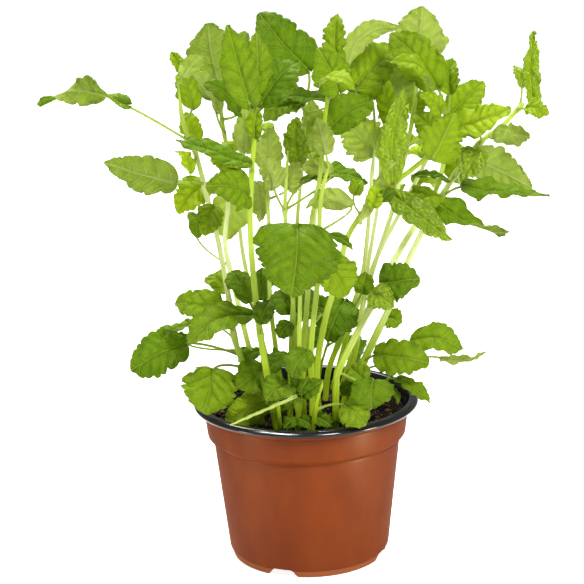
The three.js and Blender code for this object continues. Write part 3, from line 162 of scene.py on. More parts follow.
LEAVES = {
    "west": [
        leaf(143, (124, 105), (37, 104), (-14, 12), 8.5, 30, twist=300, lift=7, tone=0.1),
        leaf(186, (172, 182), (104, 163), (-8, 8), 11.5, 160, bow=4, lift=-3, tone=0.1),
        leaf(116, (192, 107), (178, 74), (11, 10), 8, 30, bow=3),
        leaf(84, (180, 72), (171, 53), (-9, 6), 4.5, 20, fold=30),
        leaf(84, (184, 76), (201, 56), (-14, -10), 6, 150, bow=3),
        leaf(160, (190, 172), (175, 151), (-11, 6), 5, 50, bow=4),
        leaf(196, (204, 184), (177, 212), (16, -8), 10.5, 20, bow=4),
        leaf(228, (214, 208), (205, 236), (-10, -8), 8, 0, bow=4),
        leaf(300, (226, 291), (207, 277), (14, 10), 7.5, 30, bow=4),
        leaf(328, (224, 315), (175, 304), (-10, -6), 11, 35, bow=5),
        leaf(336, (196, 322), (150, 337), (16, 8), 6, 76, twist=-30, bow=3, lift=-3),
        leaf(150, (195, 140), (186, 112), (11, 6), 6.5, 10, bow=3),
    ],
    "west_back": [
        leaf(266, (197, 236), (189, 212), (6, 8), 4.5, 30, bow=2),
        leaf(322, (250, 316), (188, 344), (-47, -24), 11, 40, bow=6),
        leaf(104, (223, 94), (208, 23), (-11, 10), 19, 175, bow=4, tone=0.15),
        leaf(135, (216, 110), (178, 71), (-14, -6), 7, 125, bow=5, lift=3),
        leaf(122, (238, 111), (203, 84), (-14, -12), 9, 40, bow=5, tone=0.0),
        leaf(186, (233, 173), (208, 152), (-12, -10), 9, 30, bow=4),
        leaf(210, (232, 198), (226, 240), (10, 6), 12, 175, bow=3, tone=0.8),
        leaf(96, (232, 74), (246, 32), (14, 12), 11, 168, bow=4),
        leaf(160, (246, 150), (246, 106), (8, 8), 8, 172, bow=3),
    ],
    "west_front": [
        leaf(113, (249, 102), (227, 25), (-10, 8), 10.5, 12, bow=-4, tone=0.2),
        leaf(118, (255, 112), (263, 82), (12, 8), 5, 170, bow=2),
        leaf(128, (262, 103), (300, 62), (6, 10), 12.5, 25, bow=5, tone=0.0),
        leaf(122, (256, 90), (255, 33), (3, 12), 8, 20, bow=4, tone=0.25),
        leaf(140, (255, 136), (258, 107), (-11, -4), 5, 10, bow=2, tone=0.4),
        leaf(172, (246, 163), (176, 140), (-9, -6), 10, 60, bow=3, lift=-2, tone=0.0),
        leaf(202, (247, 196), (206, 186), (-11, -14), 13, 30, bow=6, tone=0.25),
        leaf(308, (249, 300), (231, 272), (11, 10), 8.5, 25, bow=4, tone=0.1),
        leaf(330, (260, 322), (271, 300), (-11, 6), 6, 20, bow=2, tone=-0.1),
    ],
    "mid_a": [
        leaf(200, (257, 184), (260, 222), (6, -4), 6, 168, bow=2),
        leaf(200, (288, 188), (300, 162), (10, 12), 8, 160, bow=3),
        leaf(310, (263, 298), (263, 268), (11, 8), 7, 15, bow=3, tone=-0.2),
        leaf(384, (286, 384), (266, 400), (-53, -14), 9, 20, bow=4),
        leaf(178, (269, 168), (270, 128), (12, 8), 9, 170, bow=3),
    ],
    "mid_b": [
        leaf(213, (274, 187), (262, 158), (-4, 6), 8, 155, bow=3),
        leaf(212, (305, 182), (367, 184), (6, -10), 10, 62, bow=8, lift=-2, tone=0.0),
        leaf(330, (296, 313), (277, 291), (10, 12), 10, 20, bow=4, tone=-0.2),
        leaf(372, (293, 360), (266, 374), (-7, -12), 10, 50, bow=5, tone=-0.1),
        leaf(345, (290, 324), (279, 338), (-2, -4), 5.5, 10, bow=2, tone=-0.2),
    ],
    "mid_c": [
        leaf(98, (306, 67), (259, 13), (-4, 8), 15, 15, bow=4, tone=0.05),
        leaf(102, (287, 68), (264, 28), (12, 12), 11, 172, bow=3),
        leaf(112, (338, 100), (266, 100), (-12, -14), 9, 66, bow=6, lift=-3, tone=0.0),
        leaf(122, (297, 105), (264, 122), (-17, -12), 9.5, 44, bow=4, tone=0.2),
        leaf(175, (298, 164), (296, 116), (-11, -6), 7.5, 8, bow=-3, tone=0.5),
        leaf(165, (316, 148), (310, 98), (6, 8), 8, 172, bow=3),
    ],
    "mid_d": [
        leaf(90, (337, 60), (337, 14), (2, 8), 7.5, 15, bow=3),
        leaf(84, (349, 64), (402, 27), (8, 14), 7, 158, bow=3, lift=8, tone=0.5),
        leaf(100, (338, 90), (318, 48), (-9, -4), 11.5, 10, bow=4, tone=0.25),
        leaf(96, (322, 82), (354, 90), (-24, -14), 7, 60, bow=5),
        leaf(138, (331, 127), (373, 101), (10, 8), 11, 14, bow=5, tone=0.1),
    ],
    "mid_e": [
        leaf(232, (349, 205), (307, 207), (8, -8), 8, 140, bow=5),
        leaf(168, (326, 152), (317, 118), (9, 8), 6.5, 168, bow=3),
        leaf(285, (326, 264), (347, 296), (-4, -12), 11.5, 8, bow=5, tone=0.45),
        leaf(370, (307, 352), (292, 377), (-17, -6), 8, 20, bow=3),
    ],
    "front": [
        leaf(242, (297, 229), (291, 296), (-8, -16), 24, 0, bow=7, tone=0.1),
    ],
    "east_a": [
        leaf(192, (393, 178), (404, 90), (-12, 8), 8, -14, bow=-3, tone=0.6),
        leaf(200, (394, 196), (450, 241), (-10, -14), 8, 14, bow=5, tone=0.45),
        leaf(215, (354, 194), (362, 181), (-7, 4), 5, 20, bow=2),
        leaf(157, (434, 156), (455, 113), (-13, 8), 13, 170, bow=4, tone=0.5),
    ],
    "east_b": [
        leaf(150, (371, 96), (348, 52), (8, 10), 12, 14, bow=4),
        leaf(148, (358, 84), (398, 48), (-6, 12), 13, 10, bow=5, tone=0.4),
        leaf(174, (371, 153), (346, 120), (6, 6), 14, 172, bow=3, tone=0.9),
        leaf(312, (362, 292), (366, 272), (-10, -6), 7, 0, bow=2),
        leaf(320, (344, 302), (327, 341), (0, -10), 13, 15, bow=5, tone=-0.1),
        leaf(345, (353, 316), (364, 325), (10, 0), 6, 40, bow=2),
    ],
    "east_c": [
        leaf(122, (435, 84), (390, 34), (-2, 10), 13, 10, bow=5, tone=0.35),
        leaf(120, (428, 82), (391, 62), (-14, -14), 8, 62, bow=5),
        leaf(118, (450, 92), (452, 58), (2, 8), 8.5, 12, fold=32),
        leaf(124, (451, 114), (484, 83), (11, 10), 9.5, 12, bow=4),
        leaf(126, (440, 114), (420, 94), (-10, -8), 7, 36, bow=3),
        leaf(150, (438, 140), (414, 113), (13, 6), 8, 10, bow=3),
        leaf(140, (458, 126), (511, 109), (-8, -12), 10.5, 38, bow=4, lift=-3),
        leaf(304, (383, 283), (420, 279), (-6, -10), 11, 12, bow=5, tone=0.0),
        leaf(312, (373, 294), (393, 308), (-13, -8), 8, 10, bow=3, tone=0.6),
        leaf(372, (365, 381), (350, 367), (13, 6), 7, 10, bow=3),
    ],
    "east_d": [
        leaf(107, (533, 104), (533, 31), (8, 8), 6.5, -30, bow=-3, fold=22, tone=0.6),
        leaf(107, (522, 86), (515, 66), (3, 8), 4, 30, tone=0.6),
        leaf(108, (527, 108), (549, 114), (-13, -4), 6, 30, bow=3),
        leaf(132, (496, 138), (530, 137), (-13, -8), 8.5, 140, bow=3),
        leaf(146, (475, 158), (532, 187), (9, 2), 12, 168, bow=6, tone=0.4),
        leaf(148, (479, 134), (459, 115), (-8, 6), 8, 20, bow=3, tone=0.5),
        leaf(152, (480, 152), (464, 180), (-13, -10), 9, 10, bow=4, tone=0.6),
        leaf(178, (459, 180), (452, 140), (20, 8), 8.5, 10, bow=3),
        leaf(202, (468, 187), (549, 195), (-6, -14), 12, 50, twist=40, bow=4, lift=-5, tone=0.1),
        leaf(182, (446, 181), (412, 178), (-13, -16), 5.5, 68, bow=5, lift=-2, tone=0.0),
        leaf(196, (440, 198), (405, 216), (-17, -12), 10, 40, bow=5),
        leaf(208, (442, 206), (509, 232), (-11, -20), 10.5, 10, twist=130, lift=-6, tone=0.1),
        leaf(358, (378, 355), (429, 363), (-10, -10), 11, 12, bow=5),
        leaf(344, (413, 341), (462, 350), (-2, -10), 9.5, 28, bow=6),
        leaf(366, (443, 358), (487, 352), (6, 4), 6.5, 120, twist=-30, bow=-3),
        leaf(330, (388, 318), (402, 323), (23, -6), 7, 10, bow=3),
    ],
    "east_e": [
        leaf(150, (394, 138), (378, 65), (-18, 8), 7, 10, bow=4),
        leaf(130, (396, 100), (411, 62), (6, 10), 11, 168, bow=4),
    ],
    "east_f": [
        leaf(122, (414, 112), (430, 92), (10, -8), 7, 30, bow=3),
        leaf(66, (418, 56), (423, 6), (11, 8), 15.5, 174, bow=4, tone=0.6),
        leaf(70, (426, 56), (448, 38), (20, 10), 9, 160, bow=3),
        leaf(100, (424, 84), (446, 62), (-3, 8), 8, 30, bow=4),
    ],
    "low_west": [
        leaf(358, (182, 345), (131, 371), (-14, -10), 12.5, 8, bow=5),
        leaf(352, (187, 344), (170, 339), (-4, 4), 5, 40),
        leaf(368, (213, 371), (203, 413), (-20, -12), 16, 0, bow=6),
        leaf(384, (262, 370), (237, 388), (-22, -12), 11, 10, bow=5),
    ],
    "low_front": [
        leaf(400, (270, 398), (226, 424), (30, -8), 9, 4, bow=5, tone=0.5),
        leaf(398, (290, 394), (312, 384), (47, 8), 7, 50, bow=3),
    ],
    "low_mid": [
        leaf(411, (345, 406), (366, 425), (-2, -6), 9, 10, bow=3),
    ],
    "low_east": [
        leaf(388, (373, 381), (372, 409), (-15, -10), 12, 0, bow=5),
    ],
    "low_far_east": [
        leaf(380, (398, 380), (430, 403), (-9, -8), 6.5, 52, bow=4, lift=-2),
    ],
    "low_back": [
        leaf(346, (345, 343), (360, 358), (8, 14), 9, 30, bow=4, tone=-0.1),
        leaf(342, (322, 336), (306, 348), (13, 14), 8, 30, bow=4, tone=-0.1),
    ],
}

# The hidden back of the plant: stem, the first and last row its leaves leave it at, and for each
# leaf how far in depth and by how many degrees it is moved off its neighbours, and its tone.
REAR_LEAVES = [
    ("back_west", 206, 140, ((0, 0), (3, 0), (30, 0))),
    ("back_mid", 206, 132, ((3, 0), (3, 0), (21, 0))),
    ("back_east", 190, 134, ((0, 0), (3, 0), (0, 0))),
    ("mid_c", 160, 112, ((27, 0), (-21, -20, 0.0))),
    ("east_e", 200, 126, ((3, 0), (3, 0), (30, 0))),
    ("west_back", 158, 96, ((3, 0), (3, 0))),
    ("east_f", 150, 84, ((6, 0), (48, 0), (30, 0))),
]

# Small leaves among the stems, too many for the solid part: given as the ones above. The one
# 1.4 mm wide is a stalk that has lost its blade.
# Those with tones below 0 are darkened with painted shade, for their place in shadow among the
# stems.
SMALL_LEAVES = {
    "mid_e": [
        leaf(248, (330, 236), (353, 249), (6, 2), 3, 30, tone=-0.2),
        leaf(424, (315, 417), (331, 427), (-6, -4), 4.5, 15, tone=-0.3),
    ],
    "east_a": [
        leaf(190, (391, 166), (359, 224), (-9, 4), 4.5, 168, bow=1, fold=2, tone=1.0),
        leaf(212, (373, 206), (379, 186), (-13, 2), 5, 10, tone=0.9),
        leaf(206, (381, 200), (395, 190), (-14, 2), 4, 20, tone=-0.3),
    ],
    "mid_b": [
        leaf(410, (289, 402), (276, 412), (-6, -4), 5, 20, tone=-0.3),
        leaf(212, (330, 174), (302, 166), (-8, 4), 7.5, 165, tone=1.0),
        leaf(318, (303, 304), (274, 299), (22, 8), 8.5, 10, tone=-0.2),
        leaf(322, (326, 310), (297, 298), (26, 8), 8, 10, tone=-0.2),
    ],
    "mid_d": [
        leaf(332, (317, 313), (291, 318), (16, 4), 4.5, 20, tone=0.1),
    ],
    "east_b": [
        leaf(332, (345, 311), (363, 320), (8, 2), 4, 20, tone=-0.3),
    ],
    "west_back": [
        leaf(374, (259, 351), (238, 362), (6, -4), 4.5, 30, tone=-0.2),
        leaf(378, (250, 358), (240, 348), (10, 4), 3, 0, tone=-0.2),
    ],
    "front": [
        leaf(424, (300, 419), (313, 429), (-5, -2), 4.5, 20, tone=-0.4),
        leaf(426, (297, 421), (283, 428), (-5, -2), 4, 30, tone=-0.4),
        leaf(402, (303, 394), (323, 380), (-6, -4), 5, 10, tone=-0.3),
        leaf(402, (300, 392), (292, 376), (-4, -2), 3, -10, tone=-0.1),
        leaf(404, (302, 393), (309, 377), (-9, 2), 3.4, 20, tone=-0.1),
        leaf(406, (299, 396), (290, 403), (-6, -4), 3, 20, tone=-0.2),
    ],
    "low_front": [
        leaf(406, (269, 402), (289, 384), (-3, 6), 5, 10, tone=0.2),
        leaf(398, (292, 398), (230, 425), (-10, -4), 0.7, 160, tone=1.0),
    ],
    "low_east": [
        leaf(402, (357, 386), (340, 391), (8, 2), 5, 10, tone=0.0),
        leaf(394, (363, 379), (351, 368), (4, 4), 3.5, 10, tone=0.5),
    ],
    "low_far_east": [
        leaf(386, (391, 389), (398, 403), (-8, -6), 2.6, 40, tone=0.1),
    ],
    "low_mid": [
        leaf(424, (318, 421), (344, 425), (6, 6), 4, 62, tone=-0.4),
    ],
    "west": [
        leaf(418, (262, 411), (243, 421), (4, 2), 4, 55, tone=-0.4),
    ],
}

# ---- stems and stalks ----
STEM_STEP = 42
STEM_RING_SPACING = 2.2
STEM_TIP_RATIO = 0.6
STEM_END_RATIO = 0.3
STOUT_END_RATIO = 0.85
STOUT_TO_THE_TIP = ("east_a", "east_d")
JOINT_SWELLING = 0.2
JOINT_LENGTH = 3
STEM_SIDES = 24
STEM_ANGLE = 2 * math.pi * np.arange(STEM_SIDES) / STEM_SIDES
# Square in section with rounded corners and a shallow groove down each side.
STEM_SECTION = 0.73 - 0.1 * np.cos(4 * STEM_ANGLE) - 0.035 * np.cos(8 * STEM_ANGLE)
STALK_SIDES = 10
STALK_RING_SPACING = 1.6
# Half a stalk's thickness: the least, its growth per mm of the blade's half width, and the most.
STALK_LEAST = 0.42
STALK_GROWTH = 0.03
STALK_MOST = 0.75
# How far a stem's painted glow takes it from green at its foot to pale half way up, where that
# isn't all the way: the paleness paints the light that shines through the stems from behind.
STEM_PAINTED_GLOW = {"west_front": 0.2, "east_a": 0.25, "mid_e": 0.25, "mid_d": 0.4, "mid_a": 0.45,
                 "mid_b": 0.4, "mid_c": 0.6, "front": 0.3, "east_c": 0.8}
# Over which distances from the root, in mm, the stems' painted glow turns them pale and green
# again, and how far back.
PALE_RISE = (35, 115)
PALE_FALL = (130, 200)
TIP_GREENNESS = 0.75
STALK_PALENESS = 0.35
STALK_DULLNESS = 0.75

# ---- leaf blades ----
LOBE_REACH = 0.09
LOBE_SHARPNESS = 4
BLADE_WIDEST = 0.7
BLADE_FULLNESS = 0.6
LEAST_HALF_WIDTH = 0.2
WAVE_HEIGHT = 0.1
WAVE_TURN = 13
BLADE_THICKNESS = 0.34
EDGE_THINNESS = 0.35
# Side veins on each half: so many on the shortest blade, one more for each VEIN_SPACING of its
# length, and between the fewest and the most.
VEIN_SPACING = 13
VEINS_TO_START = 3.2
YOUNG_VEINS_TO_START = 2.2
FEWEST_VEINS = 3
MOST_VEINS = 7
ROWS_PER_VEIN = 16
COLS_PER_MM = 1.3
PUCKERED_COLS_PER_MM = 1.9
VEIN_LEAN = 0.84
VEIN_START = 0.37
TOOTH_DEPTH = 0.1955
SIDE_BEND = 0.05
RUFFLE = 0.09
RUFFLE_TURN = 24
GROOVE_DEPTH = 0.32
GROOVE_WIDTH = 0.9
SIDE_RIB_HEIGHT = 0.22
SIDE_RIB_WIDTH = 0.08
# Radians of the small cushions' waves per mm: they are 3 mm across.
PUCKER_PITCH = 1.05
PUCKER_HEIGHT = 1.6
CELL_HEIGHT = 0.4
# Blades that are puckered all over in the photograph: stem and picture row of the joint.
PUCKERED = {("mid_c", 175), ("east_a", 192), ("east_a", 200), ("east_c", 312), ("east_d", 107),
            ("east_d", 148), ("east_d", 152)}
# Blades still unfolding, as bright below as above.
UNFOLDING = {("east_a", 157)}
# Blades with pointed teeth, where the others have rounded lobes.
SHARP = {("mid_d", 90), ("east_a", 157), ("east_d", 148), ("east_d", 152), ("east_c", 118),
         ("east_d", 107)}

BOX_LOW = np.array(BOX_BEFORE[0]) + 1e-5
BOX_HIGH = np.array(BOX_BEFORE[1]) - 1e-5
FINE = 1.0
SEGMENTS = int(192 * FINE)
AZIMUTH = 2 * math.pi * np.arange(SEGMENTS) / SEGMENTS


def unit(v):
    """The vector divided by its own length, along the last axis."""
    return v / np.linalg.norm(v, axis=-1, keepdims=True)


def mix(a, b, share):
    """A value a part of the way from a to b."""
    return a + (b - a) * share


def smooth(low, high, x):
    """0 below low, 1 above high, and the cubic 3x^2 - 2x^3 between them."""
    x = np.clip((x - low) / (high - low), 0, 1)
    return x * x * (3 - 2 * x)


def draw(seed, low, high):
    """A fixed number between low and high: the fraction of a large sine of the seed."""
    return low + (high - low) * (math.sin(seed * 12.9898) * 43758.5453 % 1)


# ---------------------------------------------------------------- picture to space

def sight(col, row):
    """Direction from the eye through a picture point: the point's offset from the centre, turned
    by the roll, then tipped down by the pitch."""
    right, up = col - PICTURE_CENTRE, PICTURE_CENTRE - row
    x = right * math.cos(EYE_ROLL) + up * math.sin(EYE_ROLL)
    y = up * math.cos(EYE_ROLL) - right * math.sin(EYE_ROLL)
    return np.array([x, PICTURE_FOCAL * math.cos(EYE_PITCH) + y * math.sin(EYE_PITCH),
                     y * math.cos(EYE_PITCH) - PICTURE_FOCAL * math.sin(EYE_PITCH)])


def from_picture(col, row, depth):
    """The point on a line of sight whose y is the given depth."""
    line = sight(col, row)
    return EYE + line * ((depth - EYE[1]) / line[1])


def on_soil(col, row):
    """The point on a line of sight at the height of the soil."""
    line = sight(col, row)
    return EYE + line * ((SOIL_TOP - EYE[2]) / line[2])


def to_picture(point):
    """Column and row of a point in the front picture."""
    seen = point - EYE
    away = seen[1] * math.cos(EYE_PITCH) - seen[2] * math.sin(EYE_PITCH)
    up = seen[1] * math.sin(EYE_PITCH) + seen[2] * math.cos(EYE_PITCH)
    right = seen[0] * math.cos(EYE_ROLL) - up * math.sin(EYE_ROLL)
    above = seen[0] * math.sin(EYE_ROLL) + up * math.cos(EYE_ROLL)
    return (PICTURE_CENTRE + right * PICTURE_FOCAL / away,
            PICTURE_CENTRE - above * PICTURE_FOCAL / away)


def smooth_line(points, t):
    """Uniform Catmull-Rom curve: between each two points a cubic whose end slopes are half the
    span of the neighbouring points. t is an array from 0 to 1 over the whole line."""
    ends = np.vstack([2 * points[0] - points[1], points, 2 * points[-1] - points[-2]])
    spans = len(points) - 1
    k = np.minimum((t * spans).astype(int), spans - 1)
    u = (t * spans - k)[:, None]
    p0, p1, p2, p3 = ends[k], ends[k + 1], ends[k + 2], ends[k + 3]
    return (p1 + (p2 - p0) / 2 * u + (p0 * 2 - p1 * 5 + p2 * 4 - p3) / 2 * u ** 2
            + (p1 * 3 - p0 - p2 * 3 + p3) / 2 * u ** 3)


def arc(start, bend, end, t):
    """Quadratic curve from start to end, pulled towards bend; t is a column from 0 to 1."""
    return start * (1 - t) ** 2 + 2 * bend * t * (1 - t) + end * t ** 2


# ---------------------------------------------------------------- meshes

def sheet(rows, cols, wrap=False, start=0, flip=False):
    """Quads of a grid of points numbered row by row; wrap joins the last column to the first."""
    r, c = np.meshgrid(np.arange(rows - 1), np.arange(cols if wrap else cols - 1), indexing="ij")
    n = (c + 1) % cols
    quads = np.stack([r * cols + c, r * cols + n, (r + 1) * cols + n, (r + 1) * cols + c], -1)
    quads = quads.reshape(-1, 4) + start
    return quads[:, ::-1] if flip else quads


def fan(ring, centre, flip=False):
    """Triangles from a ring of point numbers to one centre point."""
    ring = np.asarray(ring)
    tris = np.stack([ring, np.roll(ring, -1), np.full(len(ring), centre)], -1)
    return tris[:, ::-1] if flip else tris


def shell(top, bottom):
    """A closed skin round two grids of points: both sheets, the lower one turned over, and a
    strip of quads from border to border."""
    rows, cols = top.shape[:2]
    size = rows * cols
    border = np.concatenate([np.arange(cols), np.arange(1, rows) * cols + cols - 1,
                             (rows - 1) * cols + np.arange(cols - 1)[::-1],
                             np.arange(1, rows - 1)[::-1] * cols])
    turn = np.roll(border, -1)
    rim = np.stack([border, border + size, turn + size, turn], -1)
    points = np.vstack([top.reshape(-1, 3), bottom.reshape(-1, 3)])
    return points, [sheet(rows, cols), sheet(rows, cols, start=size, flip=True), rim]


def tube(centres, radius, section, sides):
    """A tube along a centre line. Each ring lies across the line's slope; its point at angle a
    stands off by radius * section(a). Both ends are closed with a low cone.

    centres is (n, 3), radius (n,), section an array of the relative radius at each angle."""
    slope = unit(np.gradient(centres, axis=0))
    side = np.where(np.abs(slope[:, :1]) > 0.8, [[0.0, 1, 0]], [[1.0, 0, 0]])
    first = unit(side - slope * (side * slope).sum(1, keepdims=True))
    second = np.cross(slope, first)
    angle = 2 * math.pi * np.arange(sides) / sides
    off = (first[:, None] * np.cos(angle)[None, :, None]
           + second[:, None] * np.sin(angle)[None, :, None])
    rings = centres[:, None] + off * (radius[:, None] * section)[:, :, None]
    count = len(centres)
    points = np.vstack([rings.reshape(-1, 3), centres[:1] - slope[:1] * radius[0] * 0.3,
                        centres[-1:] + slope[-1:] * radius[-1] * 0.6])
    low, high = np.arange(sides), np.arange(sides) + (count - 1) * sides
    faces = [sheet(count, sides, wrap=True), fan(low, count * sides, flip=True),
             fan(high, count * sides + 1)]
    run = np.concatenate([[0], np.cumsum(np.linalg.norm(np.diff(centres, axis=0), axis=1))])
    around = np.stack([np.tile(angle / (2 * math.pi), count), np.repeat(run, sides)], -1)
    return points, faces, np.vstack([around, [[0, run[0]], [0, run[-1]]]])


def put(name, data):
    """A new object of the scene that holds the given camera, light or mesh."""
    thing = bpy.data.objects.new(name, data)
    bpy.context.scene.collection.objects.link(thing)
    return thing


class Parts:
    """Gathers closed surfaces that make one piece: points, faces, material numbers and UVs."""

    def __init__(self):
        self.points, self.faces, self.kinds, self.maps, self.count = [], [], [], {}, 0

    def take(self, points, faces, kinds=None, **maps):
        """Adds one surface; kinds holds a material number for each array of faces."""
        for array, kind in zip(faces, kinds or [0] * len(faces)):
            self.faces.append(array + self.count)
            self.kinds.append(np.full(len(array), kind))
        self.points.append(points)
        for name, values in maps.items():
            self.maps.setdefault(name, []).append(values)
        self.count += len(points)

    def build(self, name, slot, nodes, materials):
        """Makes the mesh object in metres, inside the part's box, and files it with the frame."""
        points = np.clip(np.vstack(self.points) * MM, BOX_LOW, BOX_HIGH)
        corners = np.concatenate([array.ravel() for array in self.faces])
        sizes = np.concatenate([np.full(len(array), array.shape[1]) for array in self.faces])
        mesh = bpy.data.meshes.new(name)
        mesh.vertices.add(len(points))
        mesh.vertices.foreach_set("co", points.ravel())
        mesh.loops.add(len(corners))
        mesh.polygons.add(len(sizes))
        mesh.polygons.foreach_set("loop_start", np.cumsum(sizes) - sizes)
        mesh.polygons.foreach_set("vertices", corners)
        mesh.polygons.foreach_set("material_index", np.concatenate(self.kinds))
        mesh.update(calc_edges=True)
        for key, values in self.maps.items():
            layer = mesh.uv_layers.new(name=key)
            layer.data.foreach_set("uv", np.vstack(values)[corners].ravel())
        mesh.shade_smooth()
        for material in materials:
            mesh.materials.append(material)
        piece = put(name, mesh)
        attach(piece, "root")
        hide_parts(*nodes)


# ---------------------------------------------------------------- stems

def stem_line(name):
    """The points that a stem's centre line is drawn through, from the soil to its tip, and the
    length of the straight runs between them."""
    soil, _, path = STEMS[name]
    points = np.array([on_soil(*soil)] + [from_picture(*place) for place in path])
    return points, np.linalg.norm(np.diff(points, axis=0), axis=1).sum()


def joint_at(name, row):
    """Place on the stem at a picture row, and its share of the whole line. It lies on straight
    runs between points of the curve at even steps of about STEM_STEP, where leaf stalks start
    on the solid part."""
    points, length = stem_line(name)
    steps = max(2, round(length / STEM_STEP))
    line = smooth_line(points, np.arange(steps + 1) / steps)
    rows = [to_picture(point)[1] for point in line]
    k = 0
    while k < steps - 1 and rows[k + 1] > row:
        k += 1
    share = min(max((rows[k] - row) / (rows[k] - rows[k + 1]), 0), 1)
    return mix(line[k], line[k + 1], share), (k + share) / steps


def stem(name, joints):
    """Surface of one stem: the smooth curve through its points, from the root below the soil to
    the tip. Half thickness falls evenly to STEM_TIP_RATIO of the start, thins further over the
    last tenth, and swells by a fifth in a bell curve 3 mm wide at each leaf joint."""
    thick = STEMS[name][1]
    points, length = stem_line(name)
    share = np.linspace(0, 1, int(length / (STEM_RING_SPACING / FINE)) + 4)
    curve = smooth_line(points, share)
    end = STOUT_END_RATIO if name in STOUT_TO_THE_TIP else STEM_END_RATIO
    radius = thick * (1 - (1 - STEM_TIP_RATIO) * share) * mix(1, end, smooth(0.9, 1, share))
    for joint in joints:
        near = np.exp(-((share - joint) * length / JOINT_LENGTH) ** 2)
        radius = radius * (1 + JOINT_SWELLING * near)
    root = curve[0] - np.array([[0, 0, STEM_ROOT_DEPTH], [0, 0, STEM_ROOT_DEPTH / 2]])
    radius = np.concatenate([[thick, thick], radius])
    return tube(np.vstack([root, curve]), radius, STEM_SECTION, STEM_SIDES)


def painted_stem_glow(name, uv):
    """UV map of a stem's paleness, a painted glow of the light shining through it from behind, by
    its distance from the root in mm: it rises up the lower half and falls again towards the tip."""
    run = uv[:, 1]
    pale = STEM_PAINTED_GLOW.get(name, 1) * smooth(*PALE_RISE, run)
    pale *= 1 - TIP_GREENNESS * smooth(*PALE_FALL, run)
    return np.stack([pale, 0 * pale], -1)


# ---------------------------------------------------------------- leaves

def rear_leaf(name, row, k, seed, shift, turn, tone=None):
    """A leaf of the hidden back, drawn by rule: it hangs to alternate sides of its stem, lies
    flat, and reaches 22 to 30 mm away."""
    column = to_picture(joint_at(name, row)[0])[0]
    side = -1 if k % 2 else 1
    away = -1 if k % 3 == 2 else 1
    near, height = column + side * draw(seed, 3, 9), row - 6
    return leaf(row, (near, height),
                (near + side * draw(seed + 1, 8, 22), height + draw(seed + 2, -4, 6)),
                (away * 10 + shift, away * draw(seed + 3, 22, 30)), draw(seed + 4, 8, 11),
                draw(seed + 5, -10, 10) + turn, bow=5, flat=True, tone=tone)


def every_leaf():
    """(stem, leaf) for the seen leaves, then the rear ones, then the small ones."""
    found = [(name, one) for name, leaves in LEAVES.items() for one in leaves]
    seed = 1
    for name, first, last, moves in REAR_LEAVES:
        for k, move in enumerate(moves):
            row = mix(first, last, k / (len(moves) - 1))
            found.append((name, rear_leaf(name, row, k, seed, *move)))
            seed += 6
    return found + [(name, one) for name, leaves in SMALL_LEAVES.items() for one in leaves]


def mark(name, one, number):
    """Adds to a leaf what its surface needs: whether it is puckered, sharply toothed or young,
    how deep its quilting and its crinkles are, and its tone, 0 the darkest and 1 the palest."""
    key = (name, one["row"])
    one["pucker"] = pucker = key in PUCKERED
    one["sharp"] = key in SHARP
    one["young"] = young = not pucker and (name.startswith("low") or one["row"] > 256)
    one["quilt"] = 0.8 if pucker else draw(number + 9, 0.6, 0.95) * (0.8 + one["half"] / 36)
    one["crinkle"] = 0.9 if pucker else draw(number + 11, 0.4, 0.75)
    # Unless given, young and low leaves get darker tones and the others paler ones: partly painted
    # shade under the upper leaves and painted light on them.
    if one["tone"] is None:
        one["tone"] = draw(number + 5, 0.0, 0.35) if young else draw(number + 5, 0.35, 0.9)


def blade_width(s):
    """Share of the full half width at s along the blade: a sine, pushed towards the base and
    filled out."""
    return np.sin(math.pi * np.clip(s, 0, 1) ** BLADE_WIDEST).clip(0) ** BLADE_FULLNESS


class Pose:
    """Where a leaf's blade lies: its base and tip, chord, the side it shows and the way it
    rises, worked out from the picture points and the line of sight."""

    def __init__(self, name, one):
        self.stem, self.joint = joint_at(name, one["row"])
        depth = self.stem[1] + one["y"][0]
        self.base = from_picture(*one["base"], depth)
        self.tip = from_picture(*one["tip"], depth + one["y"][1])
        self.chord = unit(self.tip - self.base)
        look = np.array([0, 0, 1.0]) if one["flat"] else unit(EYE - self.base)
        self.face = unit(look - self.chord * (look @ self.chord))
        side = 1 if one["tip"][0] < one["base"][0] else -1
        self.rise = np.cross(self.chord, self.face) * side
        self.length = np.linalg.norm(self.tip - self.base)

    def leaning(self, roll):
        """The way the upper side faces after a turn of roll about the chord."""
        roll = np.radians(np.asarray(roll, float))[..., None]
        return self.face * np.cos(roll) + self.rise * np.sin(roll)

    def point(self, one, s, w):
        """A point of the blade at s along it and w across it, -1 to 1: the straight chord, plus
        a hump 4s(1-s) off it, plus the folded half width to the side, plus the waved margin;
        the margin's base lobes reach back past the stalk."""
        s, w = np.asarray(s, float), np.asarray(w, float)
        upper = self.leaning(one["roll"] + one["twist"] * s)
        arch = self.leaning(one["roll"] + one["twist"] / 2)
        across = np.cross(self.chord, upper)
        fold = math.radians(one["fold"])
        a = np.abs(w)
        width = one["half"] * blade_width(s) * a + LEAST_HALF_WIDTH * a
        along = s - LOBE_REACH * a * (1 - np.clip(s, 0, 1)) ** LOBE_SHARPNESS
        wave = one["half"] * WAVE_HEIGHT * w * w * blade_width(s) * np.sin(
            WAVE_TURN * s + 2 * np.sign(w) + one["row"])
        hump = 4 * s * (1 - s)
        return (self.base + (self.tip - self.base) * along[..., None]
                + arch * (one["bow"] * hump)[..., None]
                + self.rise * (one["lift"] * hump)[..., None]
                + across * (np.sign(w) * width * math.cos(fold))[..., None]
                + upper * (width * math.sin(fold) + wave)[..., None])


def veins_passed(one, pose, number, veins, s, w, x):
    """How many side veins lie below s at a share x of the half width: v = veins * (s - lean *
    (x + x^2)/2), so that each vein curves forward as it runs out; the left ones stand a little
    ahead, and a slow sine of s makes their spacing uneven."""
    lean = VEIN_LEAN * one["half"] / pose.length
    return veins * (s - lean * x * (1 + x) / 2) + 0.35 * (w < 0) + 0.12 * np.sin(5 * s + number)


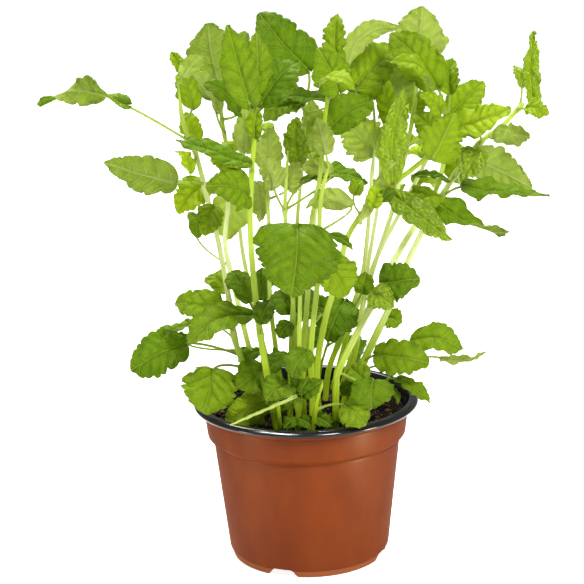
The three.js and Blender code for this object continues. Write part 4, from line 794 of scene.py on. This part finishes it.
def margin(one, pose, number, s, w, v):
    """Share of the half width that is left at the margin, v being the side veins passed there:
    1 - depth * (1 - tooth), where tooth is a power of sin(pi f), f the fraction of v, with part
    of its height from a second, twice as fine row. Slow sines make it uneven. Slender blades
    are drawn in further towards the tip than broad ones, and young blades are rounder there."""
    young, sharp, left = one["young"], one["sharp"], w < 0
    uneven = 1 + 0.45 * np.sin(2.7 * np.floor(v) + 1.7 * number + 2 * left)
    uneven *= 1.3 if sharp else draw(number + 31, 0.55, 1.1)
    lead = (v % 1) ** (1.1 if young else 1.35)
    second, power = (0.45, 1.3) if sharp else (0.08 if young else 0.15, 0.6)
    tooth = ((1 - second) * np.sin(math.pi * lead).clip(0) ** power
             + second * np.abs(np.sin(2 * math.pi * lead)) ** power)
    toothed = smooth(0.02, 0.14, s) * (1 - smooth(0.95, 0.995, s))
    kept = 1 - TOOTH_DEPTH * uneven * (1 - tooth) * toothed
    kept *= 1 + 0.07 * np.sin(7 * s + draw(number + 21, 0, 6) + 2.5 * left)
    if young:
        return kept * (1 + 0.22 * smooth(0.35, 0.85, s))
    broad = smooth(0.26, 0.36, one["half"] / pose.length)
    return kept * (1 - (0.35 - 0.3 * broad) * smooth(0.72, 1, s))


def relief(one, pose, number, s, a, v, along, side):
    """Height of the blade's face off its middle sheet, in mm, and the painted shade of its creases,
    a colour factor that is 1 where there is none and darkens the hollows where shade falls.

    Cushions between the side veins are a power of |sin(pi v)|. Small cells are a power of the
    product of two waves of PUCKER_PITCH, bent by slower sines. Then come the midrib's groove, a
    bell curve across the blade, and slow crinkles, a product and a sine of the place in mm,
    strongest at the margin."""
    puckered, reach = one["pucker"], np.abs(side)
    cushion = (np.abs(np.sin(math.pi * v)) ** 0.8 * smooth(0.3, 2.2, reach)
               * (1 - a ** 3) * blade_width(s))
    bent = along + 1.5 * np.sin(0.8 * side + number) + 0.6 * np.sin(2.1 * side + 0.7 * along)
    swayed = (side * PUCKER_PITCH + 1.3 * np.sin(0.6 * along + number)
              + 0.5 * np.sin(1.7 * along))
    cells = np.abs(np.sin(bent * PUCKER_PITCH) * np.sin(swayed)) ** 0.8
    cells *= 0.65 + 0.35 * np.sin(0.5 * along + 0.8 * side + 3 * number)
    # painted shade: darker in the hollows between the cells and the cushions, where shade falls
    painted_shade = 0.35 + 0.65 * cells ** 0.6 if puckered else 0.62 + 0.38 * cushion ** 0.7
    cell_height = PUCKER_HEIGHT if puckered else CELL_HEIGHT
    height = one["quilt"] * (cushion + cell_height * cells * smooth(0.3, 2, reach))
    height -= GROOVE_DEPTH * np.exp(-(reach / GROOVE_WIDTH) ** 2) * (1 - s)
    crinkle = (np.sin(0.42 * along + draw(number, 0, 6))
               * np.sin(0.5 * side + draw(number + 1, 0, 6))
               + 0.5 * np.sin(0.9 * along + 1.1 * side + draw(number + 2, 0, 6)))
    height += one["crinkle"] * crinkle * smooth(0, 0.2, s) * (0.4 + 0.6 * a)
    return height, painted_shade


def normals(grid):
    """Unit normals of a grid of points, from its slopes along its rows and columns."""
    return unit(np.cross(np.gradient(grid, axis=1), np.gradient(grid, axis=0)))


def on_both(x, y):
    """A UV map from two grids, the same on a blade's two skins."""
    return np.tile(np.stack([x.ravel(), y.ravel()], -1), (2, 1))


def stalk_radius(one):
    """Half the thickness of a leaf's stalk: thicker for wider blades, up to a limit."""
    return min(STALK_MOST, STALK_LEAST + STALK_GROWTH * one["half"])


def blade(one, pose, number):
    """The closed surface of one blade.

    Its middle sheet is pose.point on a grid of s and w, whose rows lie closer at the base and
    the tip: s = u - sin(2 pi u) / (4 pi). The sheet is drawn in at its margin, bends sideways
    in a hump, ripples along its margin by slow sines of s, and then moves along its normal by
    the relief. The upper and lower skins stand off it by half the thickness, the lower one also
    by the round ribs of the midrib and the side veins, each a bell curve across it."""
    veins = (YOUNG_VEINS_TO_START if one["young"] else VEINS_TO_START) + pose.length / VEIN_SPACING
    veins = int(np.clip(round(veins), FEWEST_VEINS, MOST_VEINS))
    cols_per_mm = PUCKERED_COLS_PER_MM if one["pucker"] else COLS_PER_MM
    half_cols = int(np.clip(round(one["half"] * cols_per_mm), 7, 20) * FINE)
    u = np.linspace(0, 1, int(ROWS_PER_VEIN * veins * FINE))
    s = u - 0.5 * np.sin(2 * math.pi * u) / (2 * math.pi)
    s, w = np.meshgrid(s, np.linspace(-1, 1, 2 * half_cols + 1), indexing="ij")
    a, full, left = np.abs(w), blade_width(s), w < 0
    v = veins_passed(one, pose, number, veins, s, w, a * full) + VEIN_START
    edge_v = veins_passed(one, pose, number, veins, s, w, full)

    kept = margin(one, pose, number, s, w, edge_v)
    middle = pose.point(one, s, w * (1 + (kept - 1) * a ** 3))
    upper = pose.leaning(one["roll"] + one["twist"] * s)
    across = np.cross(pose.chord, upper)
    hump = 4 * s * (1 - s)
    side_bend = draw(number + 23, -SIDE_BEND, SIDE_BEND) * pose.length
    ruffle = RUFFLE * a ** 3 * np.sin(RUFFLE_TURN * s + draw(number + 25, 0, 6) + 2 * left)
    ripple = one["half"] * (ruffle + 0.06 * np.sin(8 * s + draw(number + 27, 0, 6)) * hump)
    middle = middle + across * (side_bend * hump)[..., None] + upper * ripple[..., None]

    reach = a * one["half"] * full
    along, side = s * pose.length, reach * np.sign(w)
    height, painted_shade = relief(one, pose, number, s, a, v, along, side)
    middle = middle + normals(middle) * height[..., None]
    normal = normals(middle)

    thin = BLADE_THICKNESS * mix(EDGE_THINNESS, 1, np.sqrt(np.clip(1 - a ** 6, 0, 1))) / 2
    rib = stalk_radius(one) * (1 - 0.8 * s)
    under = thin + rib * np.exp(-(reach / (rib * 1.2)) ** 2) * smooth(0, 0.05, 1 - s)
    vein = np.abs((v + 0.5) % 1 - 0.5)
    under += SIDE_RIB_HEIGHT * np.exp(-(vein / SIDE_RIB_WIDTH) ** 2) * (1 - a) ** 0.5 * full
    points, faces = shell(middle + normal * thin[..., None], middle - normal * under[..., None])
    # the tone map holds the blade's tone, and second the painted shade of its creases
    return points, faces, dict(blade_mm=on_both(along, side), vein=on_both(v, reach),
                               tone=on_both(np.full(s.shape, one["tone"]), painted_shade))


def stalk(one, pose, start):
    """The leaf's stalk: a round tube along a curve that leaves the stem's centre line, bends
    towards the way the blade points, thins to half, and ends just under its base."""
    ahead = unit(pose.point(one, 0.1, 0.0) - pose.base)
    reach = np.linalg.norm(pose.base - pose.stem)
    bend = pose.base - ahead * min(8, 0.4 * reach) + np.array([0, 0, 0.04 * reach])
    end = pose.base + ahead * 0.8 - pose.leaning(one["roll"]) * 0.4
    t = np.linspace(0, 1, max(6, int(reach / STALK_RING_SPACING * FINE)))
    flare = (1 + 0.5 * np.exp(-(t * reach / 2.5) ** 2)) * (1 - 0.5 * smooth(0.85, 1, t))
    return tube(arc(start, bend, end, t[:, None]), stalk_radius(one) * flare,
                np.ones(STALK_SIDES), STALK_SIDES)


# ---------------------------------------------------------------- pot and soil

def rounded(profile, radius):
    """A profile with each inner corner replaced by a short quadratic curve that starts and ends
    at most radius away from the corner."""
    profile = np.array(profile, float)
    out = [profile[:1]]
    for before, corner, after in zip(profile[:-2], profile[1:-1], profile[2:]):
        near = min(radius, np.linalg.norm(corner - before) * 0.45)
        far = min(radius, np.linalg.norm(after - corner) * 0.45)
        out.append(arc(corner + unit(before - corner) * near, corner,
                       corner + unit(after - corner) * far, np.linspace(0, 1, 4)[:, None]))
    return np.vstack(out + [profile[-1:]])


def lathe(profile, shape=None):
    """A profile of (radius, height) carried round the Z axis. It starts and ends on the axis,
    where one point each closes it. shape(radius, height, azimuth) may change the heights."""
    body = profile[1:-1]
    r = np.repeat(body[:, :1], SEGMENTS, 1)
    z = np.repeat(body[:, 1:], SEGMENTS, 1)
    if shape:
        z = shape(r, z, np.repeat(AZIMUTH[None], len(body), 0))
    points = np.stack([r * np.sin(AZIMUTH), -r * np.cos(AZIMUTH), z], -1).reshape(-1, 3)
    size = len(points)
    points = np.vstack([points, [[0, 0, profile[0, 1]], [0, 0, profile[-1, 1]]]])
    ring = np.arange(SEGMENTS)
    return points, [sheet(len(body), SEGMENTS, wrap=True), fan(ring, size, flip=True),
                    fan(ring + size - SEGMENTS, size + 1)]


def foot_gaps(r, z, azimuth):
    """Lifts the foot ring to the base's height at four gaps. With the distance round the ring
    from the nearest gap's middle, the gap's roof comes down to the ground in a smooth step over
    the last 4 mm, so its sides lean as on the solid part."""
    quarter = math.pi / 2
    first = math.radians(FIRST_NOTCH_AZIMUTH)
    off = np.abs((azimuth - first + quarter / 2) % quarter - quarter / 2) * r
    half = NOTCH_WIDTH / 2
    roof = FOOT_HEIGHT * (1 - smooth(half - NOTCH_ROOF_INSET, half + NOTCH_FOOT_OUTSET, off))
    foot = (z < FOOT_HEIGHT) & (r > FOOT_RING_INNER_RADIUS - 2)
    return np.where(foot, np.maximum(z, roof), z)


def wall_inside(inset, lift=0):
    """The pot's wall at an inset from its outside, as (radius, height) from the collar's top
    down to the middle of the floor; the step between collar and body may be lifted."""
    step = COLLAR_FOOT + lift
    return [(COLLAR_TOP_RADIUS - inset, POT_HEIGHT - LEDGE_DROP),
            (COLLAR_FOOT_RADIUS - inset, step + STEP_SLOPE),
            (BODY_TOP_RADIUS - inset, step - STEP_SLOPE),
            (BODY_FOOT_RADIUS - inset, FOOT_HEIGHT + inset), (0, FOOT_HEIGHT + inset)]


def pot_pieces(terracotta, black):
    """The pot as two bonded skins of one formed sheet: the terracotta outside up to the rim, and
    the black inside, which folds over the rim and shows as its lip."""
    f, c, h = FOOT_HEIGHT, COLLAR_FOOT, POT_HEIGHT
    ledge, shelf, skin = COLLAR_TOP_RADIUS + LEDGE_WIDTH, h - RIM_DROP + 0.1, WALL / 2
    outside = rounded([
        (0, 0), (BASE_PAD_RADIUS, 0), (BASE_PAD_RADIUS + BASE_LEAN, f),
        (FOOT_RING_INNER_RADIUS - BASE_LEAN, f), (FOOT_RING_INNER_RADIUS, 0),
        (FOOT_RADIUS - FOOT_LEAN, 0), (FOOT_RADIUS + FOOT_LEAN, f - STEP_SLOPE),
        (BODY_FOOT_RADIUS, f + FOOT_LEAN), (BODY_TOP_RADIUS, c - STEP_SLOPE - 1),
        (BODY_TOP_RADIUS - CREASE, c - STEP_SLOPE), (COLLAR_FOOT_RADIUS, c + STEP_SLOPE),
        (COLLAR_TOP_RADIUS, h - LEDGE_DROP - 0.6), (COLLAR_TOP_RADIUS - CREASE, h - LEDGE_DROP),
        (ledge, h - LEDGE_DROP + 0.8), (ledge, shelf)], WALL_CORNER)
    bond = rounded([(ledge - skin, shelf), (ledge - skin, h - LEDGE_DROP + 1.2),
                    *wall_inside(skin)], WALL_CORNER)
    outer = Parts()
    outer.take(*lathe(np.vstack([outside, bond]), foot_gaps))
    outer.build("pot_outside", "pot_terracotta", ["pot"], [terracotta])
    between = bond[::-1] + np.array([-BOND_GAP, BOND_GAP])
    between[0] = (0, f + skin + BOND_GAP)
    lip = rounded([
        (ledge - skin - BOND_GAP, shelf + BOND_GAP), (ledge + 0.1, shelf + BOND_GAP),
        (RIM_RADIUS - 0.8, h - RIM_DROP), (RIM_RADIUS, h - RIM_DROP + 1.2),
        (RIM_RADIUS, h - RIM_ROUND - 0.1), (RIM_RADIUS - RIM_ROUND, h),
        (RIM_RADIUS - RIM_WIDTH, h), *wall_inside(WALL)], LIP_CORNER)
    lining = Parts()
    lining.take(*lathe(np.vstack([between, lip])))
    lining.build("pot_lining_and_rim", "pot_black", ["pot"], [black])


def soil_height(x, y):
    """Height of the soil: broad lumps as on the solid part, plus finer ones 2 to 5 mm across."""
    broad = SOIL_LUMP * (np.sin(0.21 * x + 1) * np.cos(0.17 * y) + 0.5 * np.sin(0.4 * y - 0.3 * x))
    fine = (np.sin(1.3 * x + 2 * np.sin(0.7 * y)) * np.sin(1.1 * y + 1.7 * np.sin(0.9 * x))
            + 0.6 * np.sin(2.3 * x + 0.8 * y + 1) * np.sin(2.1 * y - 1.4 * x))
    return SOIL_TOP + broad + SOIL_CRUST * fine


def soil_lumps(r, z, azimuth):
    """Heights of the soil's lathe, with those of its top replaced by soil_height."""
    return np.where(z > SOIL_TOP - 0.5, soil_height(r * np.sin(azimuth), -r * np.cos(azimuth)), z)


def crumb(ball, seed):
    """One loose crumb: a ball stretched by three drawn factors and dented by a sine, turned and
    laid on the soil at a place that is drawn evenly over a disc."""
    r, turn = CRUMB_REACH * math.sqrt(draw(seed, 0, 1)), draw(seed + 1, 0, 2 * math.pi)
    size = draw(seed + 2, 0.5, 1.5)
    shape = np.array([size * draw(seed + 3, 0.8, 2.6), size, size * draw(seed + 4, 0.5, 0.9)])
    lump = ball * shape * (1 + 0.2 * np.sin(5 * ball[:, :1] + 7 * ball[:, 1:2] + seed))
    spin = draw(seed + 5, 0, 2 * math.pi)
    x, y = r * math.sin(turn), -r * math.cos(turn)
    return np.stack([lump[:, 0] * math.cos(spin) - lump[:, 1] * math.sin(spin) + x,
                     lump[:, 0] * math.sin(spin) + lump[:, 1] * math.cos(spin) + y,
                     lump[:, 2] + soil_height(x, y) + 0.2], -1)


def soil_pieces(peat, fibre):
    """The soil as a closed lathe whose top follows soil_height, and loose crumbs on it."""
    clear = WALL + 0.3
    top = np.linspace(COLLAR_FOOT_RADIUS - clear, 0.8, int(90 * FINE))
    profile = np.vstack([wall_inside(clear, 0.3)[:0:-1],
                         (COLLAR_FOOT_RADIUS - clear + 0.8, SOIL_TOP),
                         np.stack([top, np.full(len(top), SOIL_TOP)], -1), (0, SOIL_TOP)])
    points, faces = lathe(profile, soil_lumps)
    points[-1, 2] = soil_height(0, 0)
    bed = Parts()
    bed.take(points, faces)
    bed.build("soil_bed", "potting_soil", ["soil"], [peat])

    ring, tilt = np.meshgrid(2 * math.pi * np.arange(8) / 8, math.pi * np.arange(1, 5) / 5)
    ball = np.stack([np.cos(ring) * np.sin(tilt), np.sin(ring) * np.sin(tilt), -np.cos(tilt)], -1)
    ball = np.vstack([ball.reshape(-1, 3), [[0, 0, -1], [0, 0, 1]]])
    faces = [sheet(4, 8, wrap=True), fan(np.arange(8), 32, flip=True), fan(np.arange(24, 32), 33)]
    crumbs = Parts()
    for seed in range(1, 7 * int(CRUMBS * FINE) + 1, 7):
        crumbs.take(crumb(ball, seed), faces, [int(draw(seed + 6, 0, 1) > 0.8)] * 3)
    crumbs.build("soil_crumbs", "potting_soil", ["soil"], [peat, fibre])


# ---------------------------------------------------------------- materials

# Settings and inputs of shader nodes that come up again and again.
EASED = {"interpolation_type": "SMOOTHSTEP"}
FALLING = {"To Min": 1, "To Max": 0}
COLOURS = {"data_type": "RGBA"}
PRODUCT = {"data_type": "RGBA", "blend_type": "MULTIPLY"}


def linear(hexa):
    """Linear RGBA from an sRGB hex string."""
    part = [int(hexa[k:k + 2], 16) / 255 for k in (0, 2, 4)]
    return tuple(v / 12.92 if v < 0.04045 else ((v + 0.055) / 1.055) ** 2.4 for v in part) + (1,)


def add(tree, kind, inputs=None, stops=(), **settings):
    """Adds one shader node, sets its properties and the stops of its colour ramp, and links or
    fills its inputs. An input is named, or numbered where names repeat; its value may be a
    socket, or a node, which stands for its first live output."""
    node = tree.nodes.new("ShaderNode" + kind)
    for name, value in settings.items():
        setattr(node, name, value)
    for k, (place, hexa) in enumerate(stops):
        node.color_ramp.elements[k].position = place
        node.color_ramp.elements[k].color = linear(hexa)
    for key, value in (inputs or {}).items():
        socket = node.inputs[key] if isinstance(key, int) else next(
            one for one in node.inputs if one.enabled and one.name == key)
        if isinstance(value, bpy.types.Node):
            value = next(one for one in value.outputs if one.enabled)
        if isinstance(value, bpy.types.NodeSocket):
            tree.links.new(value, socket)
        else:
            socket.default_value = value
    return node


def new_material(name):
    """An empty node material and its node tree."""
    material = bpy.data.materials.new(name)
    material.use_nodes = True
    material.node_tree.nodes.clear()
    return material, material.node_tree


def leaf_material(name, dark, light, painted_crease_shade, glow, veins, veins_share, sheen, roughness, shine):
    """A leaf's skin: matt, green between two tones, and darker in the creases between its cushions
    with painted shade, with paler side veins and midrib and a fine net between them. Half of it
    lets light through, so that blades with the light behind them glow a yellower green."""
    material, tree = new_material(name)
    marks = add(tree, "SeparateXYZ", {0: add(tree, "UVMap", uv_map="tone")})
    ribs = add(tree, "SeparateXYZ", {0: add(tree, "UVMap", uv_map="vein")})
    place = add(tree, "UVMap", uv_map="blade_mm")
    # clouds of tone 6 mm across, a quarter of the way from dark to light at most
    cloud = add(tree, "TexNoise", {"Vector": place, "Scale": 0.16, "Detail": 3})
    drift = add(tree, "Math", {0: cloud, 1: 0.5}, operation="SUBTRACT")
    drift = add(tree, "Math", {0: drift, 1: 0.5}, operation="MULTIPLY")
    tone = add(tree, "Math", {0: marks.outputs["X"], 1: drift}, operation="ADD")
    green = add(tree, "ValToRGB", {"Fac": tone}, stops=[(0, dark), (1, light)])
    # a midrib 1 mm wide, as on real blades, and side veins of 0.6 mm, twice the real width, so
    # that they show
    side = add(tree, "Math", {0: ribs.outputs["X"], 1: 0.5}, operation="PINGPONG")
    side = add(tree, "MapRange", {"Value": side, "From Max": 0.09, **FALLING}, **EASED)
    midrib = add(tree, "MapRange", {"Value": ribs.outputs["Y"], "From Min": 0.2, "From Max": 0.8,
                                    **FALLING}, **EASED)
    # the net of small veins has cells 1.6 mm across, drawn a little coarser than real ones
    net = add(tree, "TexVoronoi", {"Vector": place, "Scale": 0.62}, feature="DISTANCE_TO_EDGE")
    net = add(tree, "MapRange", {"Value": net, "From Max": 0.16, **FALLING}, **EASED)
    net = add(tree, "Math", {0: net, 1: 0.35}, operation="MULTIPLY")
    line = add(tree, "Math", {0: side, 1: midrib}, operation="MAXIMUM")
    line = add(tree, "Math", {0: line, 1: net}, operation="MAXIMUM")
    # painted shade: the green is multiplied by the creases' colour, as far as the tone map's second
    # value falls below 1
    shaded = add(tree, "Mix", {"Factor": 1, "A": green, "B": linear(painted_crease_shade)}, **PRODUCT)
    green = add(tree, "Mix", {"Factor": marks.outputs["Y"], "A": shaded, "B": green}, **COLOURS)
    share = add(tree, "Math", {0: line, 1: veins_share}, operation="MULTIPLY")
    colour = add(tree, "Mix", {"Factor": share, "A": green, "B": linear(veins)}, **COLOURS)
    sunk = add(tree, "Math", {0: 1, 1: line}, operation="SUBTRACT")
    bump = add(tree, "Bump", {"Strength": 0.8, "Distance": 0.0005, "Height": sunk})
    skin = add(tree, "BsdfPrincipled", {
        "Base Color": colour, "Roughness": roughness, "Specular IOR Level": shine,
        "Sheen Weight": sheen, "Sheen Roughness": 0.5, "Normal": bump})
    passed = add(tree, "Mix", {"Factor": 1, "A": colour, "B": linear(glow)}, **PRODUCT)
    through = add(tree, "BsdfTranslucent", {"Color": passed, "Normal": bump})
    add(tree, "OutputMaterial",
        {"Surface": add(tree, "MixShader", {0: 0.48, 1: skin, 2: through})})
    return material


def stem_material():
    """Mint stem: pale watery green, slightly glossy, with light in it; long faint ribs, and a slow
    change of tone along its length that paints the glow of light shining through it from behind."""
    material, tree = new_material("mint stem")
    place = add(tree, "UVMap", uv_map="around")
    # 26 ribs round the stem, each some 20 mm long
    long = add(tree, "VectorMath", {0: place, 1: (26, 0.05, 1)}, operation="MULTIPLY")
    ribs = add(tree, "TexNoise", {"Vector": long, "Scale": 1})
    # the pale colour of the painted glow, streaked along the ribs
    pale = add(tree, "ValToRGB", {"Fac": ribs}, stops=[(0.3, "ced888"), (0.7, "eef2cc")])
    # greener, or paler with the painted glow, as the stem and the height on it say; leaf stalks are
    # a dull green
    marks = add(tree, "SeparateXYZ", {0: add(tree, "UVMap", uv_map="pale")})
    colour = add(tree, "Mix", {"Factor": marks.outputs["X"], "A": linear("bcd22e"), "B": pale},
                 **COLOURS)
    colour = add(tree, "Mix", {"Factor": marks.outputs["Y"], "A": colour, "B": linear("9eb444")},
                 **COLOURS)
    bump = add(tree, "Bump", {"Strength": 0.4, "Distance": 0.0003, "Height": ribs})
    skin = add(tree, "BsdfPrincipled", {"Base Color": colour, "Roughness": 0.38,
                                        "Specular IOR Level": 0.18, "Normal": bump})
    through = add(tree, "BsdfTranslucent", {"Color": colour})
    add(tree, "OutputMaterial",
        {"Surface": add(tree, "MixShader", {0: 0.5, 1: skin, 2: through})})
    return material


def terracotta_material():
    """Formed terracotta polystyrene: satin, so a broad soft highlight runs down the wall, with
    a fine grain and a slightly uneven tone."""
    material, tree = new_material("terracotta polystyrene")
    place = add(tree, "TexCoord").outputs["Object"]
    # clouds of tone 20 mm wide and twice as high, from the drawing of the hot sheet
    tall = add(tree, "VectorMath", {0: place, 1: (1, 1, 0.5)}, operation="MULTIPLY")
    cloud = add(tree, "TexNoise", {"Vector": tall, "Scale": 48, "Detail": 3})
    body = add(tree, "ValToRGB", {"Fac": cloud}, stops=[(0.3, "682a07"), (0.7, "78350c")])
    # the foot ring, 4 mm high, is painted paler: a painted highlight for the light its
    # outward-leaning face catches
    height = add(tree, "SeparateXYZ", {0: place}).outputs["Z"]
    foot = add(tree, "MapRange", {"Value": height, "From Min": 0.0035, "From Max": 0.0045,
                                  **FALLING}, **EASED)
    colour = add(tree, "Mix", {"Factor": foot, "A": body, "B": linear("8a4c26")}, **COLOURS)
    # grain of the forming mould, 1 mm across
    grain = add(tree, "TexNoise", {"Vector": place, "Scale": 900, "Detail": 2})
    bump = add(tree, "Bump", {"Strength": 0.12, "Distance": 0.0002, "Height": grain})
    skin = add(tree, "BsdfPrincipled", {"Base Color": colour, "Roughness": 0.6,
                                        "Specular IOR Level": 0.02, "Normal": bump})
    gloss = add(tree, "BsdfAnisotropic", {"Color": linear("ffffff"), "Roughness": 0.38,
                                          "Normal": bump})
    add(tree, "OutputMaterial",
        {"Surface": add(tree, "MixShader", {0: 0.007, 1: skin, 2: gloss})})
    return material


def black_material():
    """Formed black polystyrene: glossy, so the rim shows thin bright streaks of the lights, a
    little blurred and uneven over patches 17 mm across."""
    material, tree = new_material("black polystyrene")
    place = add(tree, "TexCoord").outputs["Object"]
    patches = add(tree, "TexNoise", {"Vector": place, "Scale": 60, "Detail": 3})
    blur = add(tree, "MapRange", {"Value": patches, "From Min": 0.3, "From Max": 0.7,
                                  "To Min": 0.1, "To Max": 0.2}, **EASED)
    skin = add(tree, "BsdfPrincipled", {"Base Color": linear("151516"), "IOR": 1.4,
                                        "Roughness": blur})
    add(tree, "OutputMaterial", {"Surface": skin})
    return material


def peat_material(name, dark, light, roughness):
    """Damp peat, or the bark fibre in it: dark brown, rough and nearly without gloss, with
    paler specks."""
    material, tree = new_material(name)
    place = add(tree, "TexCoord").outputs["Object"]
    # crumbs 2.4 mm across
    noise = add(tree, "TexNoise", {"Vector": place, "Scale": 420, "Detail": 5, "Roughness": 0.7})
    # specks of fibre a millimetre across, on a cell pattern with cells of 1.4 mm
    cells = add(tree, "TexVoronoi", {"Vector": place, "Scale": 700})
    pick = add(tree, "SeparateXYZ", {0: cells.outputs["Color"]})
    pick = add(tree, "MapRange", {"Value": pick, "From Min": 0.8, "From Max": 0.86}, **EASED)
    middle = add(tree, "MapRange", {"Value": cells, "From Min": 0.25, "From Max": 0.45, **FALLING},
                 **EASED)
    speck = add(tree, "Math", {0: pick, 1: middle}, operation="MULTIPLY")
    brown = add(tree, "ValToRGB", {"Fac": noise}, stops=[(0.4, dark), (0.72, light)])
    colour = add(tree, "Mix", {"Factor": speck, "A": brown, "B": linear("8a6b3c")}, **COLOURS)
    bump = add(tree, "Bump", {"Strength": 0.9, "Distance": 0.0012, "Height": noise})
    skin = add(tree, "BsdfPrincipled", {"Base Color": colour, "Roughness": roughness,
                                        "Specular IOR Level": 0.1, "Normal": bump})
    add(tree, "OutputMaterial", {"Surface": skin})
    return material


# ---------------------------------------------------------------- the plant

def plant():
    """All stems and leaves, two pieces to a stem: its blades, and the stem with its stalks. A
    blade's skins are numbered 0 upper, 1 under and 2 puckered."""
    green = dict(dark="688e09", light="c2da26", painted_crease_shade="88a464", glow="ffff90", veins="d2e45c",
                 veins_share=0.24, sheen=0)
    grey_green = dict(dark="90a824", light="d0dc74", painted_crease_shade="c0cca4", glow="ffff98",
                      veins="dce69a", veins_share=0.3, sheen=0.05)
    # real blades are downy below and matt above; puckered ones glisten on every cushion
    skins = [leaf_material("mint leaf upper side", **green, roughness=0.5, shine=0.08),
             leaf_material("mint leaf underside", **grey_green, roughness=0.65, shine=0.12),
             leaf_material("puckered mint leaf", **green, roughness=0.3, shine=0.3)]
    with_puckered = {name for name, row in PUCKERED}
    stem_skin = stem_material()
    blades = {name: Parts() for name in STEMS}
    woody = {name: Parts() for name in STEMS}
    joints = {name: [] for name in STEMS}
    for number, (name, one) in enumerate(every_leaf()):
        mark(name, one, number)
        pose = Pose(name, one)
        unfolding = (name, one["row"]) in UNFOLDING
        points, faces, maps = blade(one, pose, number)
        blades[name].take(points, faces, [0, 0, 0] if unfolding else [2 * one["pucker"], 1, 1],
                          **maps)
        start = smooth_line(stem_line(name)[0], np.array([pose.joint]))
        points, faces, around = stalk(one, pose, start)
        woody[name].take(points, faces, around=around,
                         pale=np.tile([STALK_PALENESS, STALK_DULLNESS], (len(points), 1)))
        joints[name].append(pose.joint)
    for name in STEMS:
        points, faces, around = stem(name, joints[name])
        woody[name].take(points, faces, around=around, pale=painted_stem_glow(name, around))
        node = "leafy_stem_" + name
        blades[name].build(name + "_leaves", "leaf_green", [node],
                           skins if name in with_puckered else skins[:2])
        woody[name].build(name + "_stem_and_stalks", "stem_green", [node], [stem_skin])


# ---------------------------------------------------------------- camera, floor and light

# Name, place and aim in metres, width, height, watts, colour, and whether it is a gleam, which
# shows in reflections alone.
LIGHTS = [
    ("key", (0.55, -1.05, 1.3), (0, 0, 0.17), 0.4, 0.5, 32, "ffffff", False),
    ("top strip", (-0.42, -0.4, 1.2), (0, 0, 0.17), 0.6, 0.14, 20, "ffffff", True),
    ("right card", (0.17, -0.115, 0.05), (0, 0, 0.05), 0.04, 0.1, 1, "ffd8a8", True),
    ("left card", (-0.17, -0.115, 0.05), (0, 0, 0.05), 0.03, 0.1, 0.3, "ffd8a8", True),
    ("back", (-0.3, 0.9, 1.5), (0, 0, 0.17), 1, 0.8, 68, "fffdf0", False),
]
FLOOR_REACH = 6
FLOOR_GLOW = 0.88
SKY_STRENGTH = 0.3


def camera():
    """The front picture's camera."""
    lens = bpy.data.cameras.new("front camera")
    lens.sensor_width = SENSOR_WIDTH
    lens.lens = PICTURE_FOCAL * SENSOR_WIDTH / PICTURE_SIZE
    lens.clip_end = 20
    eye = put("front camera", lens)
    eye.matrix_world = (Matrix.Translation(EYE * MM)
                        @ Matrix.Rotation(math.pi / 2 - EYE_PITCH, 4, "X")
                        @ Matrix.Rotation(-EYE_ROLL, 4, "Z"))
    bpy.context.scene.camera = eye


def softbox(name, place, aim, width, height, power, colour, gleam):
    """An area light at a place, turned to face a point."""
    light = bpy.data.lights.new(name, "AREA")
    light.shape, light.size, light.size_y = "RECTANGLE", width, height
    light.energy, light.color = power, linear(colour)[:3]
    lamp = put(name, light)
    forward = unit(np.array(aim, float) - np.array(place, float))
    side = unit(np.cross(forward, [0, 0, 1]))
    turn = np.eye(4)
    turn[:3] = np.stack([side, np.cross(side, forward), -forward, place], -1)
    lamp.matrix_world = Matrix(turn)
    lamp.visible_diffuse, lamp.visible_camera = not gleam, False


def studio():
    """A plain white floor and an even pale sky; a soft light from the front right, and a strong
    one from behind, which makes the thin leaves glow; and gleams for the pot's rim and wall."""
    material, tree = new_material("white backdrop paper")
    skin = add(tree, "BsdfPrincipled", {
        "Base Color": linear("c8c8c8"), "Roughness": 0.9, "Specular IOR Level": 0.1,
        "Emission Color": linear("ffffff"), "Emission Strength": FLOOR_GLOW})
    add(tree, "OutputMaterial", {"Surface": skin})
    mesh = bpy.data.meshes.new("floor")
    corners = [(-1, -1), (1, -1), (1, 1), (-1, 1)]
    mesh.from_pydata([(x * FLOOR_REACH, y * FLOOR_REACH, 0) for x, y in corners], [],
                     [(0, 1, 2, 3)])
    mesh.materials.append(material)
    floor = put("floor", mesh)
    world = bpy.data.worlds.new("pale studio")
    world.use_nodes = True
    sky = world.node_tree.nodes["Background"].inputs
    sky["Color"].default_value, sky["Strength"].default_value = linear("ffffff"), SKY_STRENGTH
    bpy.context.scene.world = world
    for light in LIGHTS:
        softbox(*light)
    bpy.context.scene.view_settings.view_transform = "Standard"


camera()
studio()
pot_pieces(terracotta_material(), black_material())
soil_pieces(peat_material("damp peat", "050301", "170e06", 0.9),
            peat_material("bark fibre", "33241a", "6e5638", 0.85))
plant()
